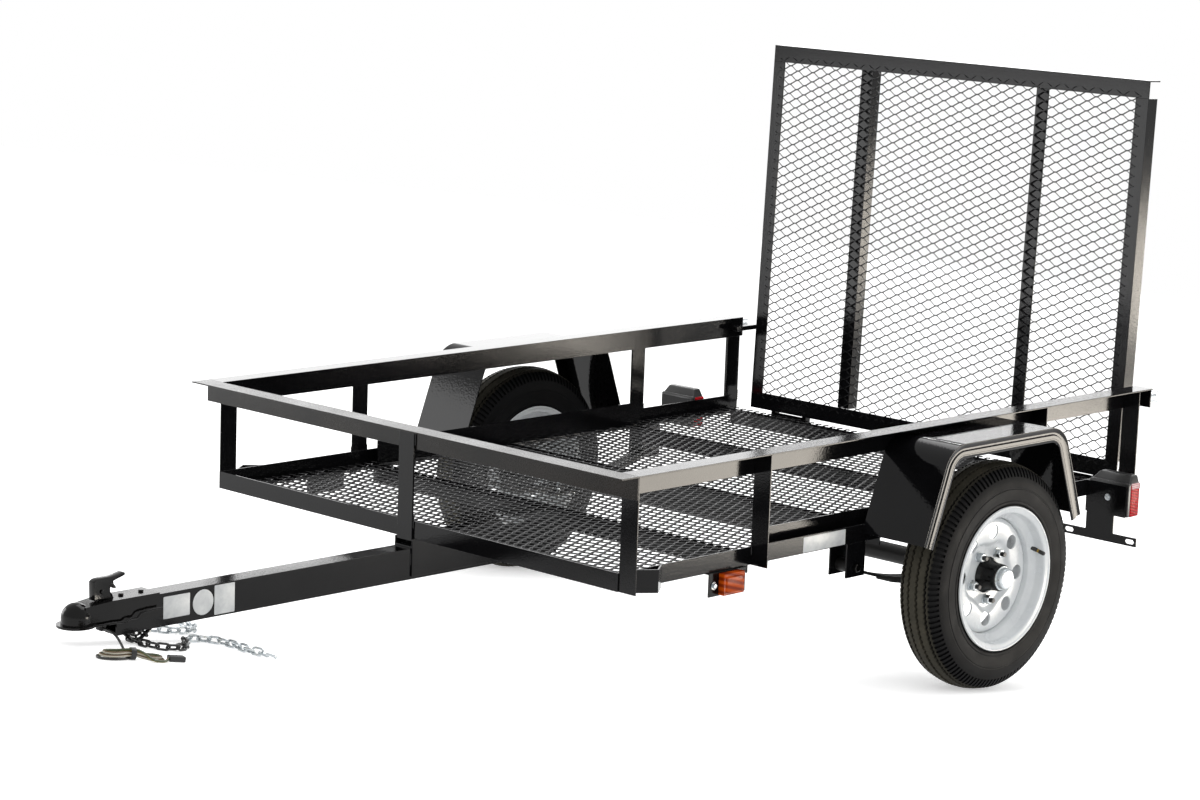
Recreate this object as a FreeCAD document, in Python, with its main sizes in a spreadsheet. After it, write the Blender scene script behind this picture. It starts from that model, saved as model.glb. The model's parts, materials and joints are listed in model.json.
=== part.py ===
import FreeCAD, Part
import math
import os
import re

from FreeCAD import Placement, Rotation, Vector

# Single-axle utility trailer with a mesh floor and a mesh ramp gate.
# Every piece is drawn with the deck level: X across (left is +X), Y towards the rear, Z up,
# the front frame angle's face at Y = 0 and the ground at Z = 0. The trailer has no jack, so it
# parks nose down on its tyres and the chain plate under its coupler: at the end the level
# pieces are turned about the axle by the angle at which that plate meets the ground.

doc = FreeCAD.newDocument("utility_trailer")

SIZES = [
    # alias, millimetres, meaning
    ("bed_half", 651, "half the bed width, to the outer face of the side angles"),
    ("bed_length", 1792, "front frame face to rear sill face"),
    ("deck_rise", 97, "axle to the bed frame's underside"),
    ("frame_leg", 40, "leg of the bed frame angles"),
    ("steel", 3.2, "wall of all angles"),
    ("mesh_wall", 1.2, "even plate with the weight of the expanded mesh"),
    ("cross_leg", 34, "leg of the crossmembers"),
    ("rail_over", 14, "top of the fenders to the top of the side rails"),
    ("rail_leg", 50.8, "leg of the top rail angles"),
    ("rail_past", 30, "side rails past the rear sill"),
    ("post_leg", 47.6, "leg of the upright posts"),
    ("post_behind", 26, "fender's rear edge to the post behind it"),
    ("post_drop", 5, "how far the front centre post passes below the frame"),
    ("stiffener_rise", 62, "height of the inner floor stiffeners"),
    ("stiffener_inset", 36, "bed edge to the stiffener"),
    ("loop_reach", 29, "tie-down loop, outwards"),
    ("loop_span", 80, "tie-down loop, along the bed"),
    ("loop_strap", 50, "tie-down loop strap height"),
    ("tongue_wide", 50.8, "tongue tube width"),
    ("tongue_high", 70, "tongue tube height"),
    ("tongue_wall", 3.2, "tongue tube wall"),
    ("tongue_gap", 21, "tongue top to the bed frame"),
    ("tongue_reach", 812, "tongue tube ahead of the bed"),
    ("tongue_tail", 448, "tongue tube behind the front face"),
    ("bracket_wall", 4, "tongue bracket plate"),
    ("bracket_length", 250, "tongue bracket length"),
    ("ball_r", 25.4, "hitch ball radius, two inch ball"),
    ("ball_play", 0.6, "clearance of the socket round the ball"),
    ("coupler_wall", 5, "coupler shell"),
    ("ball_reach", 895, "ball centre ahead of the bed"),
    ("ball_drop", 46, "bed frame's underside down to the ball centre"),
    ("socket_lip", 18, "how far the socket passes below the ball centre"),
    ("tyre_r", 265, "tyre outer radius"),
    ("tyre_width", 122, "tyre section width"),
    ("tyre_wall", 10, "tyre carcass"),
    ("wheel_out", 115, "side angle to the tyre centre"),
    ("axle_y", 1097, "front frame face to the axle"),
    ("axle_r", 22.2, "axle beam radius"),
    ("axle_wall", 6, "axle beam wall"),
    ("spindle_r", 14.95, "spindle radius"),
    ("hub_play", 0.05, "running clearance of the hub"),
    ("bead_r", 152, "bead seat radius"),
    ("flange_r", 168, "rim flange radius"),
    ("rim_wall", 3, "rim steel"),
    ("rim_inset", 7, "tyre's widest point to the inner face of the rim's flange"),
    ("lug_circle_r", 57.15, "lug circle radius, five on four and a half inches"),
    ("lug_r", 6.35, "wheel stud radius"),
    ("vent_circle_r", 102, "circle of the disc's round holes"),
    ("dish_r", 76, "radius of the dish that the wheel nuts sit in"),
    ("vent_r", 17, "disc hole radius"),
    ("fender_reach", 179, "fender width"),
    ("fender_gap", 70, "tyre to the top of the fender"),
    ("fender_wall", 2.5, "fender sheet"),
    ("fender_lap", 20, "fender's lower edge above the bed frame's underside"),
    ("fender_crown", 55, "tyre radius less half the fender's flat top"),
    ("fender_play", 32.2, "tyre to the rear lower edge of the fender"),
    ("fender_lead", 20, "fender centre ahead of the axle"),
    ("fender_bend", 72, "bend radius of the fender corners"),
    ("spring_inset", 31, "side angle to the spring centre"),
    ("spring_half", 320, "half length of the spring, eye to eye"),
    ("spring_wide", 44, "leaf width"),
    ("leaf_wall", 7, "leaf thickness"),
    ("eye_drop", 58, "bed frame's underside down to the spring eyes"),
    ("eye_r", 15, "spring eye outer radius"),
    ("gate_inset", 44, "bed edge to the gate's side"),
    ("gate_back", 28.4, "rear sill to the front face of the gate at its hinge"),
    ("gate_gap", 9, "bed frame's underside to the gate's lower edge"),
    ("gate_high", 986, "gate height"),
    ("gate_rail", 44, "leg of the gate's rails"),
    ("gate_post", 38, "leg of the gate's side posts"),
    ("gate_brace", 38, "leg of the gate's braces"),
    ("hinge_r", 9, "hinge pin radius"),
    ("hinge_play", 0.08, "clearance of the hinge pins"),
    ("sleeve_wall", 4, "hinge sleeve wall"),
    ("hinge_drop", 19, "gate lower edge to the hinge axis"),
    ("lamp_ahead", 152, "rear sill to the front face of the tail lamps"),
    ("lamp_wide", 117, "tail lamp width"),
    ("lamp_high", 76, "tail lamp height"),
    ("lamp_deep", 10, "tail lamp housing depth"),
    ("lens_deep", 36, "tail lamp lens depth"),
    ("hood_high", 18, "hood over the tail lamp, above the lens"),
    ("plate_hole_gap", 177.8, "licence plate hole spacing"),
    ("gate_lean", 2.17, "degrees by which the latched gate leans back"),
    ("chain_bar_r", 4, "chain bar radius"),
    ("chain_bar_drop", 25, "tongue's underside to the chain bar's lowest centre line"),
    ("link_wire", 5, "chain link wire"),
    ("link_inner", 9.4, "inside width of a chain link"),
    ("link_pitch", 23, "pitch of a chain link"),
    ("link_slack", 1.6, "slack of one link in the next"),
    ("hook_wire", 6, "chain hook wire"),
    ("lead_d", 5.6, "wiring lead diameter"),
]

PLACES = [
    # alias, formula of the sizes, meaning
    ("deck_z", "tyre_r+deck_rise", "underside of the bed frame above the ground"),
    ("fender_z", "2*tyre_r+fender_gap", "top of the fender"),
    ("fender_bottom", "deck_z+fender_lap", "lower edge of the fender"),
    ("fender_foot", "sqrt(tyre_r^2-(fender_bottom-tyre_r)^2)+fender_lead+fender_play", "half the fender's length, below"),
    ("rail_top", "fender_z+rail_over", "top of the side rails"),
    ("rail_length", "bed_length+rail_past", "front frame face to the rear end of the side rails"),
    ("ball_z", "deck_z-ball_drop", "ball centre height"),
    ("wheel_centre", "bed_half+wheel_out", "trailer centre to tyre centre"),
    ("spring_x", "bed_half-spring_inset", "trailer centre to spring centre"),
    ("eye_z", "deck_z-eye_drop", "spring eye height"),
    ("gate_half", "bed_half-gate_inset", "half the gate width"),
    ("gate_y", "bed_length+gate_back", "front face of the gate at its hinge"),
    ("gate_foot", "deck_z+gate_gap", "lower edge of the gate"),
    ("gate_top", "deck_z+gate_gap+gate_high", "upper edge of the gate"),
    ("lamp_y", "bed_length-lamp_ahead", "front face of the tail lamps"),
    ("lamp_top", "deck_z+frame_leg", "top of the tail lamps"),
]

sheet = doc.addObject("Spreadsheet::Sheet", "sizes")
size = {}
for row, (alias, value, meaning) in enumerate(SIZES + PLACES, start=1):
    sheet.set(f"A{row}", alias)
    sheet.set(f"B{row}", f"={value}" if isinstance(value, str) else str(value))
    sheet.setAlias(f"B{row}", alias)
    sheet.set(f"C{row}", meaning)
doc.recompute()
for alias, value, meaning in SIZES + PLACES:
    size[alias] = float(sheet.get(alias))


def cells(formula):
    """The formula with each size's name turned into its cell of the sheet."""
    return re.sub(r"[a-z_]+", lambda word: "sizes." + word.group() if word.group() in size else word.group(),
                  str(formula))


def bind(thing, **formulas):
    """Binds properties to formulas of the sizes; x, y and z bind the place."""
    for name, formula in formulas.items():
        target = ".Placement.Base." + name if name in ("x", "y", "z") else name
        thing.setExpression(target, cells(formula))
    return thing


def box(x, y, z, side=1):
    """A block between pairs of formulas; side -1 mirrors it to the trailer's right."""
    near, far = x if side > 0 else (f"-({x[1]})", f"-({x[0]})")
    block = doc.addObject("Part::Box", "block")
    return bind(block, x=near, y=y[0], z=z[0], Length=f"({far})-({near})",
                Width=f"({y[1]})-({y[0]})", Height=f"({z[1]})-({z[0]})")


AXES = {"x": Rotation(Vector(0, 1, 0), 90), "y": Rotation(Vector(1, 0, 0), -90), "z": Rotation()}


def rod(axis, radius, low, high, x="0", y="0", z="0", side=1):
    """A round bar along an axis, from low to high on it; side -1 mirrors an X bar."""
    if axis == "x" and side < 0:
        low, high = f"-({high})", f"-({low})"
    bar = doc.addObject("Part::Cylinder", "bar")
    bar.Placement = Placement(Vector(), AXES[axis])
    place = {"x": x if side > 0 else f"-({x})", "y": y, "z": z}
    place[axis] = low
    return bind(bar, Radius=radius, Height=f"({high})-({low})", **place)


def fuse(*pieces):
    joined = doc.addObject("Part::MultiFuse", "joined")
    joined.Shapes = list(pieces)
    joined.Refine = True
    return joined


def cut(base, *tools):
    trimmed = doc.addObject("Part::Cut", "trimmed")
    trimmed.Base = base
    trimmed.Tool = tools[0] if len(tools) == 1 else fuse(*tools)
    return trimmed


def group(*pieces):
    gathered = doc.addObject("Part::Compound", "gathered")
    gathered.Links = list(pieces)
    return gathered


def solid(shape, name="formed"):
    """A shape made from the sheet's values, where no primitive or feature fits."""
    formed = doc.addObject("Part::Feature", name)
    formed.Shape = shape
    return formed


def extrude(wire, direction, length):
    """A flat closed outline, extruded along a direction."""
    outline = solid(Part.Face(wire), "outline")
    prism = doc.addObject("Part::Extrusion", "prism")
    prism.Base = outline
    prism.DirMode = "Custom"
    prism.Dir = direction
    prism.Solid = True
    return bind(prism, LengthFwd=length)


def revolve(wire, centre):
    """A closed outline turned about the axle line through a centre."""
    outline = solid(Part.Face(wire), "outline")
    ring = doc.addObject("Part::Revolution", "ring")
    ring.Source = outline
    ring.Axis = Vector(1, 0, 0)
    ring.Base = centre
    ring.Angle = 360
    ring.Solid = True
    return ring


nodes = {}
wheel_nodes = []


def node(label, thing):
    thing.Label = label
    nodes[label] = thing
    return thing


SIDES = (("left", 1), ("right", -1))
FULL = ("-bed_half", "bed_half")

# ---- Bed frame: four angles with the mesh floor inside, over three crossmembers.
FRAME_Z = ("deck_z", "deck_z+frame_leg")
SHELF_Z = ("deck_z", "deck_z+steel")
node("frame_front_angle", fuse(
    box(FULL, ("0", "steel"), FRAME_Z),
    box(("frame_leg-bed_half", "bed_half-frame_leg"), ("0", "frame_leg"), SHELF_Z)))
# The rear sill stands leg down, so that the mesh runs out over it to the gate.
node("frame_rear_angle", fuse(
    box(FULL, ("bed_length-steel", "bed_length"), ("deck_z+steel-frame_leg", "deck_z+steel")),
    box(("frame_leg-bed_half", "bed_half-frame_leg"), ("bed_length-frame_leg", "bed_length"), SHELF_Z)))
for name, side in SIDES:
    run = ("steel", "bed_length-steel")
    node(f"frame_side_angle_{name}", fuse(
        box(("bed_half-steel", "bed_half"), run, FRAME_Z, side),
        box(("bed_half-frame_leg", "bed_half"), run, SHELF_Z, side)))

CROSSMEMBER_Y = ("tongue_tail", "900", "1350")
crossmembers = []
for start in CROSSMEMBER_Y:
    inside = ("frame_leg-bed_half", "bed_half-frame_leg")
    crossmembers.append(fuse(
        box(inside, (start, f"{start}+cross_leg"), SHELF_Z),
        box(inside, (start, f"{start}+steel"), ("deck_z+steel-cross_leg", "deck_z+steel"))))
node("floor_crossmembers", group(*crossmembers))

node("floor_mesh", group(box(("steel-bed_half", "bed_half-steel"), ("steel", "bed_length"),
                             ("deck_z+steel", "deck_z+steel+mesh_wall"))))

stiffeners = []
for name, side in SIDES:
    run = (f"{465}", "1392")
    foot = "deck_z+steel+mesh_wall"
    stiffeners.append(fuse(
        box(("bed_half-stiffener_inset", "bed_half-stiffener_inset+steel"), run,
            (foot, f"{foot}+stiffener_rise"), side),
        box(("bed_half-stiffener_inset", "bed_half-steel"), run, (foot, f"{foot}+steel"), side)))
node("floor_stiffeners", group(*stiffeners))


def tie_down_loop(side):
    """A strap bent to a V, both ends on the side angle."""
    reach, span, wall = size["loop_reach"], size["loop_span"], size["steel"]
    start, height = 53.0, size["deck_z"] + size["frame_leg"] - size["loop_strap"]
    outer = [(0, 0), (reach, span / 2), (0, span)]
    inset = wall * math.hypot(reach, span / 2) / reach
    inner = [(0, span - inset), (reach - wall * math.hypot(reach, span / 2) / (span / 2), span / 2), (0, inset)]
    edge = [Vector(side * (size["bed_half"] + x), start + y, height) for x, y in outer + inner]
    return extrude(Part.makePolygon(edge + edge[:1]), Vector(0, 0, 1), "loop_strap")


node("tie_down_loops", group(tie_down_loop(1), tie_down_loop(-1)))

# ---- Top rails: angles with the flange outwards, carried by posts under the flange.
RAIL_Z = ("rail_top-rail_leg", "rail_top")
FLANGE_Z = ("rail_top-steel", "rail_top")
rail_out = "bed_half-steel+rail_leg"
node("top_rail_front", fuse(
    box((f"-({rail_out})", rail_out), ("0", "steel"), RAIL_Z),
    box((f"-({rail_out})", rail_out), ("steel-rail_leg", "steel"), FLANGE_Z)))
for name, side in SIDES:
    run = ("steel", "rail_length")
    node(f"top_rail_{name}", fuse(
        box(("bed_half-steel", "bed_half"), run, RAIL_Z, side),
        box(("bed_half-steel", rail_out), run, FLANGE_Z, side)))

POST_Z = ("deck_z", "rail_top-steel")


def post(start, side):
    """An upright angle outside the side angle, its wide leg across the trailer."""
    leg = (start, f"{start}+steel") if side > 0 else (f"{start}+post_leg-steel", f"{start}+post_leg")
    return fuse(box(("bed_half", "bed_half+post_leg"), leg, POST_Z, side),
                box(("bed_half", "bed_half+steel"), (start, f"{start}+post_leg"), POST_Z, side))


node("front_posts", group(
    post("steel", 1), post("steel", -1),
    box(("-post_leg/2", "post_leg/2"), ("-steel*1.5", "0"), ("deck_z-post_drop", "rail_top-steel"))))
SIDE_POST_Y = ("413", "axle_y-fender_lead+fender_foot+post_behind", "bed_length-post_leg+22.6")
for name, side in SIDES:
    node(f"side_posts_{name}", group(*[post(start, side) for start in SIDE_POST_Y]))

# ---- Tongue: one rectangular tube under the bed, held by a bracket under the front angle.
TONGUE_Z = ("deck_z-tongue_gap-tongue_high", "deck_z-tongue_gap")
TONGUE_X = ("-tongue_wide/2", "tongue_wide/2")
node("tongue_tube", cut(
    box(TONGUE_X, ("-tongue_reach", "tongue_tail"), TONGUE_Z),
    box(("tongue_wall-tongue_wide/2", "tongue_wide/2-tongue_wall"), ("-tongue_reach-1", "tongue_tail+1"),
        ("deck_z-tongue_gap-tongue_high+tongue_wall", "deck_z-tongue_gap-tongue_wall"))))
bracket_y = ("-6", "bracket_length")
node("tongue_bracket", fuse(
    box(("tongue_wide/2", "tongue_wide/2+bracket_wall"), bracket_y, ("deck_z-tongue_gap-tongue_high*0.9", "deck_z")),
    box(("tongue_wide/2", "tongue_wide/2+bracket_wall"), bracket_y, ("deck_z-tongue_gap-tongue_high*0.9", "deck_z"), -1),
    box(("-tongue_wide/2", "tongue_wide/2"), bracket_y, ("deck_z-tongue_gap", "deck_z-tongue_gap+bracket_wall"))))

# ---- Coupler: a shell round the front of the tongue with a domed ball socket and a latch on top.
ball = Vector(0, -size["ball_reach"], size["ball_z"])
socket_r = size["ball_r"] + size["ball_play"]
dome_r = socket_r + size["coupler_wall"]
lip_z = size["ball_z"] - size["socket_lip"]
shell_x = size["tongue_wide"] / 2
shell_top = size["deck_z"] - size["tongue_gap"]
shell_back = 106 - size["tongue_reach"]
shell_mid = -size["tongue_reach"] - 8


def coupler_shape():
    """Dome and lip round the ball, a tapering neck, and a channel that wraps the tube."""
    wall = size["coupler_wall"]
    dome = Part.makeSphere(dome_r, ball).fuse(
        Part.makeCylinder(dome_r, size["socket_lip"], Vector(ball.x, ball.y, lip_z)))
    dome = dome.common(Part.makeBox(200, 200, 200, Vector(-100, ball.y - 100, lip_z)))
    lip = Part.makeCylinder(dome_r + 9, wall, Vector(ball.x, ball.y, lip_z))
    neck_front = ball.y + dome_r * 0.2
    corners = [(dome_r * 0.8, neck_front), (shell_x + wall, shell_mid), (shell_x + wall, shell_back)]
    outline = [Vector(x, y, lip_z) for x, y in corners] + [Vector(-x, y, lip_z) for x, y in reversed(corners)]
    neck = Part.Face(Part.makePolygon(outline + outline[:1])).extrude(Vector(0, 0, shell_top + wall - lip_z))
    slope = [Vector(-100, neck_front, ball.z + dome_r * 0.75), Vector(-100, shell_mid, shell_top + wall + 0.01),
             Vector(-100, neck_front - 60, shell_top + 60), Vector(-100, neck_front - 60, ball.z + dome_r * 0.75)]
    neck = neck.cut(Part.Face(Part.makePolygon(slope + slope[:1])).extrude(Vector(200, 0, 0)))
    shape = dome.fuse([lip, neck]).removeSplitter()
    hollow = Part.makeSphere(socket_r, ball).fuse(
        Part.makeCylinder(socket_r, 60, Vector(ball.x, ball.y, ball.z - 60)))
    channel = Part.makeBox(2 * shell_x, shell_back - shell_mid + 1, shell_top - lip_z + 1,
                           Vector(-shell_x, shell_mid, lip_z - 1))
    return shape.cut(hollow).cut(channel)


node("coupler_body", group(solid(coupler_shape())))

latch_z = shell_top + size["coupler_wall"]
node("coupler_latch", fuse(
    box(("-13", "13"), ("30-ball_reach", "82-ball_reach"), (f"{latch_z}", f"{latch_z + 42}")),
    box(("-11", "11"), ("82-ball_reach", "128-ball_reach"), (f"{latch_z + 36}", f"{latch_z + 42}")),
    rod("x", "5", "-16", "16", y="60-ball_reach", z=f"{latch_z + 18}")))

# A round bar bent to a V under the tongue carries both safety chains.
tongue_foot = size["deck_z"] - size["tongue_gap"] - size["tongue_high"]
bar_low = tongue_foot - size["chain_bar_drop"]
bar_front = 30 - size["tongue_reach"]
BAR_STOPS = [(bar_front, tongue_foot + 1), (bar_front + 30, bar_low),
             (bar_front + 49, bar_low), (bar_front + 85, tongue_foot + 1)]


def rounded_path(stops, radii):
    """Straight runs through points, joined by tangent arcs; ends stay where they are."""
    edges, last = [], stops[0]
    for before, here, after, radius in zip(stops, stops[1:], stops[2:], radii):
        back, on = (before - here).normalize(), (after - here).normalize()
        half = math.acos(max(-1.0, min(1.0, back.dot(on)))) / 2
        first, second = here + back * (radius / math.tan(half)), here + on * (radius / math.tan(half))
        middle = here + (back + on).normalize() * (radius / math.sin(half) - radius)
        edges += [Part.LineSegment(last, first).toShape(), Part.Arc(first, middle, second).toShape()]
        last = second
    edges.append(Part.LineSegment(last, stops[-1]).toShape())
    return Part.Wire(edges)


def round_tube(path, radius):
    """A round bar along a path."""
    edge = path.Edges[0]
    start, along = edge.valueAt(edge.FirstParameter), edge.tangentAt(edge.FirstParameter)
    profile = Part.Wire([Part.makeCircle(radius, start, along)])
    return path.makePipeShell([profile], True, True)


bar_path = rounded_path([Vector(0, y, z) for y, z in BAR_STOPS], [14, 14])
node("chain_bracket", group(
    box(("-20", "20"), ("6-tongue_reach", "52-tongue_reach"), (f"{tongue_foot - 3}", f"{tongue_foot}")),
    cut(solid(round_tube(bar_path, size["chain_bar_r"])),
        box(("-20", "20"), ("-tongue_reach", "130-tongue_reach"), (f"{tongue_foot - 3}", f"{tongue_foot + 20}")))))

# The wiring clip hangs under the coupler's neck and lets the lead out on its left.
CLIP_Y = (-size["tongue_reach"] - 36, -size["tongue_reach"] - 10)
clip_x = 14.0
node("harness_clip", group(
    box((f"{-clip_x}", f"{clip_x}"), (f"{CLIP_Y[0]}", f"{CLIP_Y[1]}"), (f"{lip_z - 28}", f"{lip_z}"))))

# ---- Axle and springs.
AT_AXLE = {"y": "axle_y", "z": "tyre_r"}
beam_end = "(wheel_centre-tyre_width/2-5)"
node("axle_beam", fuse(
    cut(rod("x", "axle_r", f"-{beam_end}", beam_end, **AT_AXLE),
        rod("x", "axle_r-axle_wall", f"90-{beam_end}", f"{beam_end}-90", **AT_AXLE)),
    *[rod("x", "spindle_r", f"{beam_end}-40", "wheel_centre+40", side=side, **AT_AXLE) for name, side in SIDES]))


def arc_band(half, top_mid, top_end, wall, centre_y, x):
    """A curved leaf seen from the side: two arcs a wall apart, closed by its ends."""
    def point(y, z):
        return Vector(x, centre_y + y, z)
    upper = Part.Arc(point(-half, top_end), point(0, top_mid), point(half, top_end)).toShape()
    lower = Part.Arc(point(half, top_end - wall), point(0, top_mid - wall), point(-half, top_end - wall)).toShape()
    return Part.Wire([upper, Part.LineSegment(point(half, top_end), point(half, top_end - wall)).toShape(),
                      lower, Part.LineSegment(point(-half, top_end - wall), point(-half, top_end)).toShape()])


seat_z = size["tyre_r"] - size["axle_r"]
for name, side in SIDES:
    inner = side * size["spring_x"] - size["spring_wide"] / 2
    main_leaf = extrude(arc_band(size["spring_half"], seat_z, size["eye_z"], size["leaf_wall"],
                                 size["axle_y"], inner), Vector(1, 0, 0), "spring_wide")
    share = 0.58
    helper_end = seat_z + (size["eye_z"] - seat_z) * share ** 2
    helper_leaf = extrude(arc_band(size["spring_half"] * share, seat_z - size["leaf_wall"],
                                   helper_end - size["leaf_wall"], size["leaf_wall"],
                                   size["axle_y"], inner), Vector(1, 0, 0), "spring_wide")
    eyes = [rod("x", "eye_r", "spring_x-spring_wide/2", "spring_x+spring_wide/2",
                y=f"axle_y{end}spring_half", z="eye_z", side=side) for end in ("-", "+")]
    node(f"spring_{name}", fuse(main_leaf, helper_leaf, *eyes))

hangers = []
for name, side in SIDES:
    for end in ("-", "+"):
        eye_y = f"(axle_y{end}spring_half)"
        span = (f"{eye_y}-32", f"{eye_y}+32")
        hangers.append(fuse(
            box(("spring_x-spring_wide/2-4", "spring_x-spring_wide/2"), span, ("eye_z-22", "deck_z"), side),
            box(("spring_x+spring_wide/2", "spring_x+spring_wide/2+4"), span, ("eye_z-22", "deck_z"), side),
            box(("spring_x-spring_wide/2", "spring_x+spring_wide/2"), span, ("deck_z-4", "deck_z"), side)))
node("spring_hangers", group(*hangers))

node("spring_plates", group(*[
    box(("spring_x-38", "spring_x+38"), ("axle_y-45", "axle_y+45"),
        (f"{seat_z - 2 * size['leaf_wall'] - 6}", f"{seat_z - 2 * size['leaf_wall']}"), side)
    for name, side in SIDES]))


# ---- Fenders: one bent sheet over each wheel, welded to the rail and the side angle.
def fender_outline(side):
    """The bent sheet seen from the side, with round top corners."""
    middle = size["axle_y"] - size["fender_lead"]
    top, foot = size["tyre_r"] - size["fender_crown"], size["fender_foot"]
    x = size["bed_half"] if side > 0 else -size["bed_half"] - size["fender_reach"]

    def line(shrink):
        """Half outlines at a depth under the sheet's outer face."""
        lean = math.atan2(foot - top, size["fender_z"] - size["fender_bottom"])
        drop = shrink * (1 - math.sin(lean)) / math.cos(lean)
        return [(-foot + shrink / math.cos(lean), size["fender_bottom"]),
                (-top + drop, size["fender_z"] - shrink),
                (top - drop, size["fender_z"] - shrink),
                (foot - shrink / math.cos(lean), size["fender_bottom"])]

    def edges(points, radius):
        path = Part.makePolygon([Vector(x, middle + y, z) for y, z in points])
        ends = [path.Vertexes[0].Point]
        pieces = []
        for corner in (1, 2):
            before, here, after = (path.Vertexes[i].Point for i in (corner - 1, corner, corner + 1))
            back, on = (before - here).normalize(), (after - here).normalize()
            half_angle = math.acos(back.dot(on)) / 2
            reach = radius / math.tan(half_angle)
            middle_way = (back + on).normalize()
            bulge = here + middle_way * (radius / math.sin(half_angle) - radius)
            first, last = here + back * reach, here + on * reach
            pieces += [Part.LineSegment(ends[-1], first).toShape(), Part.Arc(first, bulge, last).toShape()]
            ends.append(last)
        pieces.append(Part.LineSegment(ends[-1], path.Vertexes[3].Point).toShape())
        return pieces, path.Vertexes[0].Point, path.Vertexes[3].Point

    outer, front, rear = edges(line(0), size["fender_bend"])
    inner, front_in, rear_in = edges(line(size["fender_wall"]), size["fender_bend"] - size["fender_wall"])
    return Part.Wire(Part.__sortEdges__(outer + inner + [Part.LineSegment(front, front_in).toShape(),
                                                         Part.LineSegment(rear, rear_in).toShape()]))


for name, side in SIDES:
    node(f"fender_{name}", group(extrude(fender_outline(side), Vector(1, 0, 0), "fender_reach")))


# ---- Lights.
def lamp_bracket(side):
    plate = [box(("bed_half", "bed_half+lamp_wide"), ("lamp_y-3", "lamp_y"), ("lamp_top-lamp_high", "lamp_top"), side)]
    if side > 0:
        plate.append(box(("bed_half+4", "bed_half+84"), ("lamp_y-3", "lamp_y"), ("lamp_top-lamp_high-64", "lamp_top-lamp_high"), side))
        bar_z, middle = "(lamp_top-lamp_high-55)", "(bed_half+45)"
        bar = box((f"{middle}-plate_hole_gap/2-19", f"{middle}+plate_hole_gap/2+19"), ("lamp_y-3", "lamp_y"),
                  (f"{bar_z}-11", f"{bar_z}+11"))
        slots = [fuse(box((f"{centre}-7", f"{centre}+7"), ("lamp_y-4", "lamp_y+1"), (f"{bar_z}-5.5", f"{bar_z}+5.5")),
                      rod("y", "5.5", "lamp_y-4", "lamp_y+1", x=f"{centre}-7", z=bar_z),
                      rod("y", "5.5", "lamp_y-4", "lamp_y+1", x=f"{centre}+7", z=bar_z))
                 for centre in (f"({middle}-plate_hole_gap/2)", f"({middle}+plate_hole_gap/2)")]
        return cut(fuse(bar, *plate), *slots)
    return group(*plate)


node("lamp_brackets", group(*[lamp_bracket(side) for name, side in SIDES]))
LAMP_X = ("bed_half+5", "bed_half+5+lamp_wide")
node("tail_lamps", group(*[
    fuse(box(LAMP_X, ("lamp_y", "lamp_y+lamp_deep"), ("lamp_top-lamp_high", "lamp_top+6"), side),
         box(LAMP_X, ("lamp_y", "lamp_y+lamp_deep+lens_deep"), ("lamp_top+6", "lamp_top+6+hood_high"), side))
    for name, side in SIDES]))
node("tail_lenses", group(*[
    box(LAMP_X, ("lamp_y+lamp_deep", "lamp_y+lamp_deep+lens_deep"), ("lamp_top-lamp_high", "lamp_top+6"), side)
    for name, side in SIDES]))
node("marker_brackets", group(*[
    fuse(box(("bed_half-34", "bed_half+6"), ("276", "392"), ("deck_z-3", "deck_z"), side),
         box(("bed_half+3", "bed_half+6"), ("276", "392"), ("deck_z-52", "deck_z"), side)) for name, side in SIDES]))
node("marker_lenses", group(*[
    box(("bed_half+6", "bed_half+24"), ("305", "372"), ("deck_z-50", "deck_z-2"), side) for name, side in SIDES]))


# ---- Wheels: each turns on its spindle.
def tyre_outline(side):
    """An open carcass, from bead to bead: outside by way of the crown, inside back."""
    half, crown, wall = size["tyre_width"] / 2, size["tyre_r"], size["tyre_wall"]
    bead = size["bead_r"] + size["rim_wall"] + 0.5
    centre = side * size["wheel_centre"]

    def point(x, r):
        return Vector(centre + x, size["axle_y"], size["tyre_r"] + r)

    def arc(*stops):
        return Part.Arc(*[point(*stop) for stop in stops]).toShape()

    def line(a, b):
        return Part.LineSegment(point(*a), point(*b)).toShape()

    # The beads sit between the rim's flanges, and the sidewalls bulge out beyond them.
    heel, rise = half - size["rim_inset"] - 0.4, size["flange_r"] + 1.5
    shoulder, belly = (half - 21, crown - 10), (half, (rise + crown) / 2 - 6)
    inner_heel, inner_shoulder = heel - wall, (half - 21 - wall, crown - 10 - wall)
    inner_belly = (half - wall, (rise + crown) / 2 - 6)

    def mirror(stop):
        return (-stop[0], stop[1])

    return Part.Wire(Part.__sortEdges__([
        line((heel, bead), (heel, rise)), arc((heel, rise), belly, shoulder),
        arc(shoulder, (0, crown), mirror(shoulder)),
        arc(mirror(shoulder), mirror(belly), (-heel, rise)), line((-heel, rise), (-heel, bead)),
        line((-heel, bead), (-inner_heel, bead)), line((-inner_heel, bead), (-inner_heel, rise)),
        arc((-inner_heel, rise), mirror(inner_belly), mirror(inner_shoulder)),
        arc(mirror(inner_shoulder), (0, crown - wall), inner_shoulder),
        arc(inner_shoulder, inner_belly, (inner_heel, rise)), line((inner_heel, rise), (inner_heel, bead)),
        line((inner_heel, bead), (heel, bead))]))


def rim_outline(side):
    """The rim's section: flanges, bead seats and drop centre."""
    wall, seat, flange = size["rim_wall"], size["bead_r"], size["flange_r"]
    half = size["tyre_width"] / 2 - size["rim_inset"]
    outer = [(half + wall, flange), (half, flange), (half, seat + wall), (half - 24, seat + wall),
             (half - 36, seat - 14), (-half + 36, seat - 14), (-half + 24, seat + wall), (-half, seat + wall),
             (-half, flange), (-half - wall, flange)]
    inner = [(-half - wall, seat), (-half + 22, seat), (-half + 34, seat - 14 - wall),
             (half - 34, seat - 14 - wall), (half - 22, seat), (half + wall, seat)]
    centre = side * size["wheel_centre"]
    stops = [Vector(centre + x, size["axle_y"], size["tyre_r"] + r) for x, r in outer + inner]
    return Part.makePolygon(stops + stops[:1])


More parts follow.
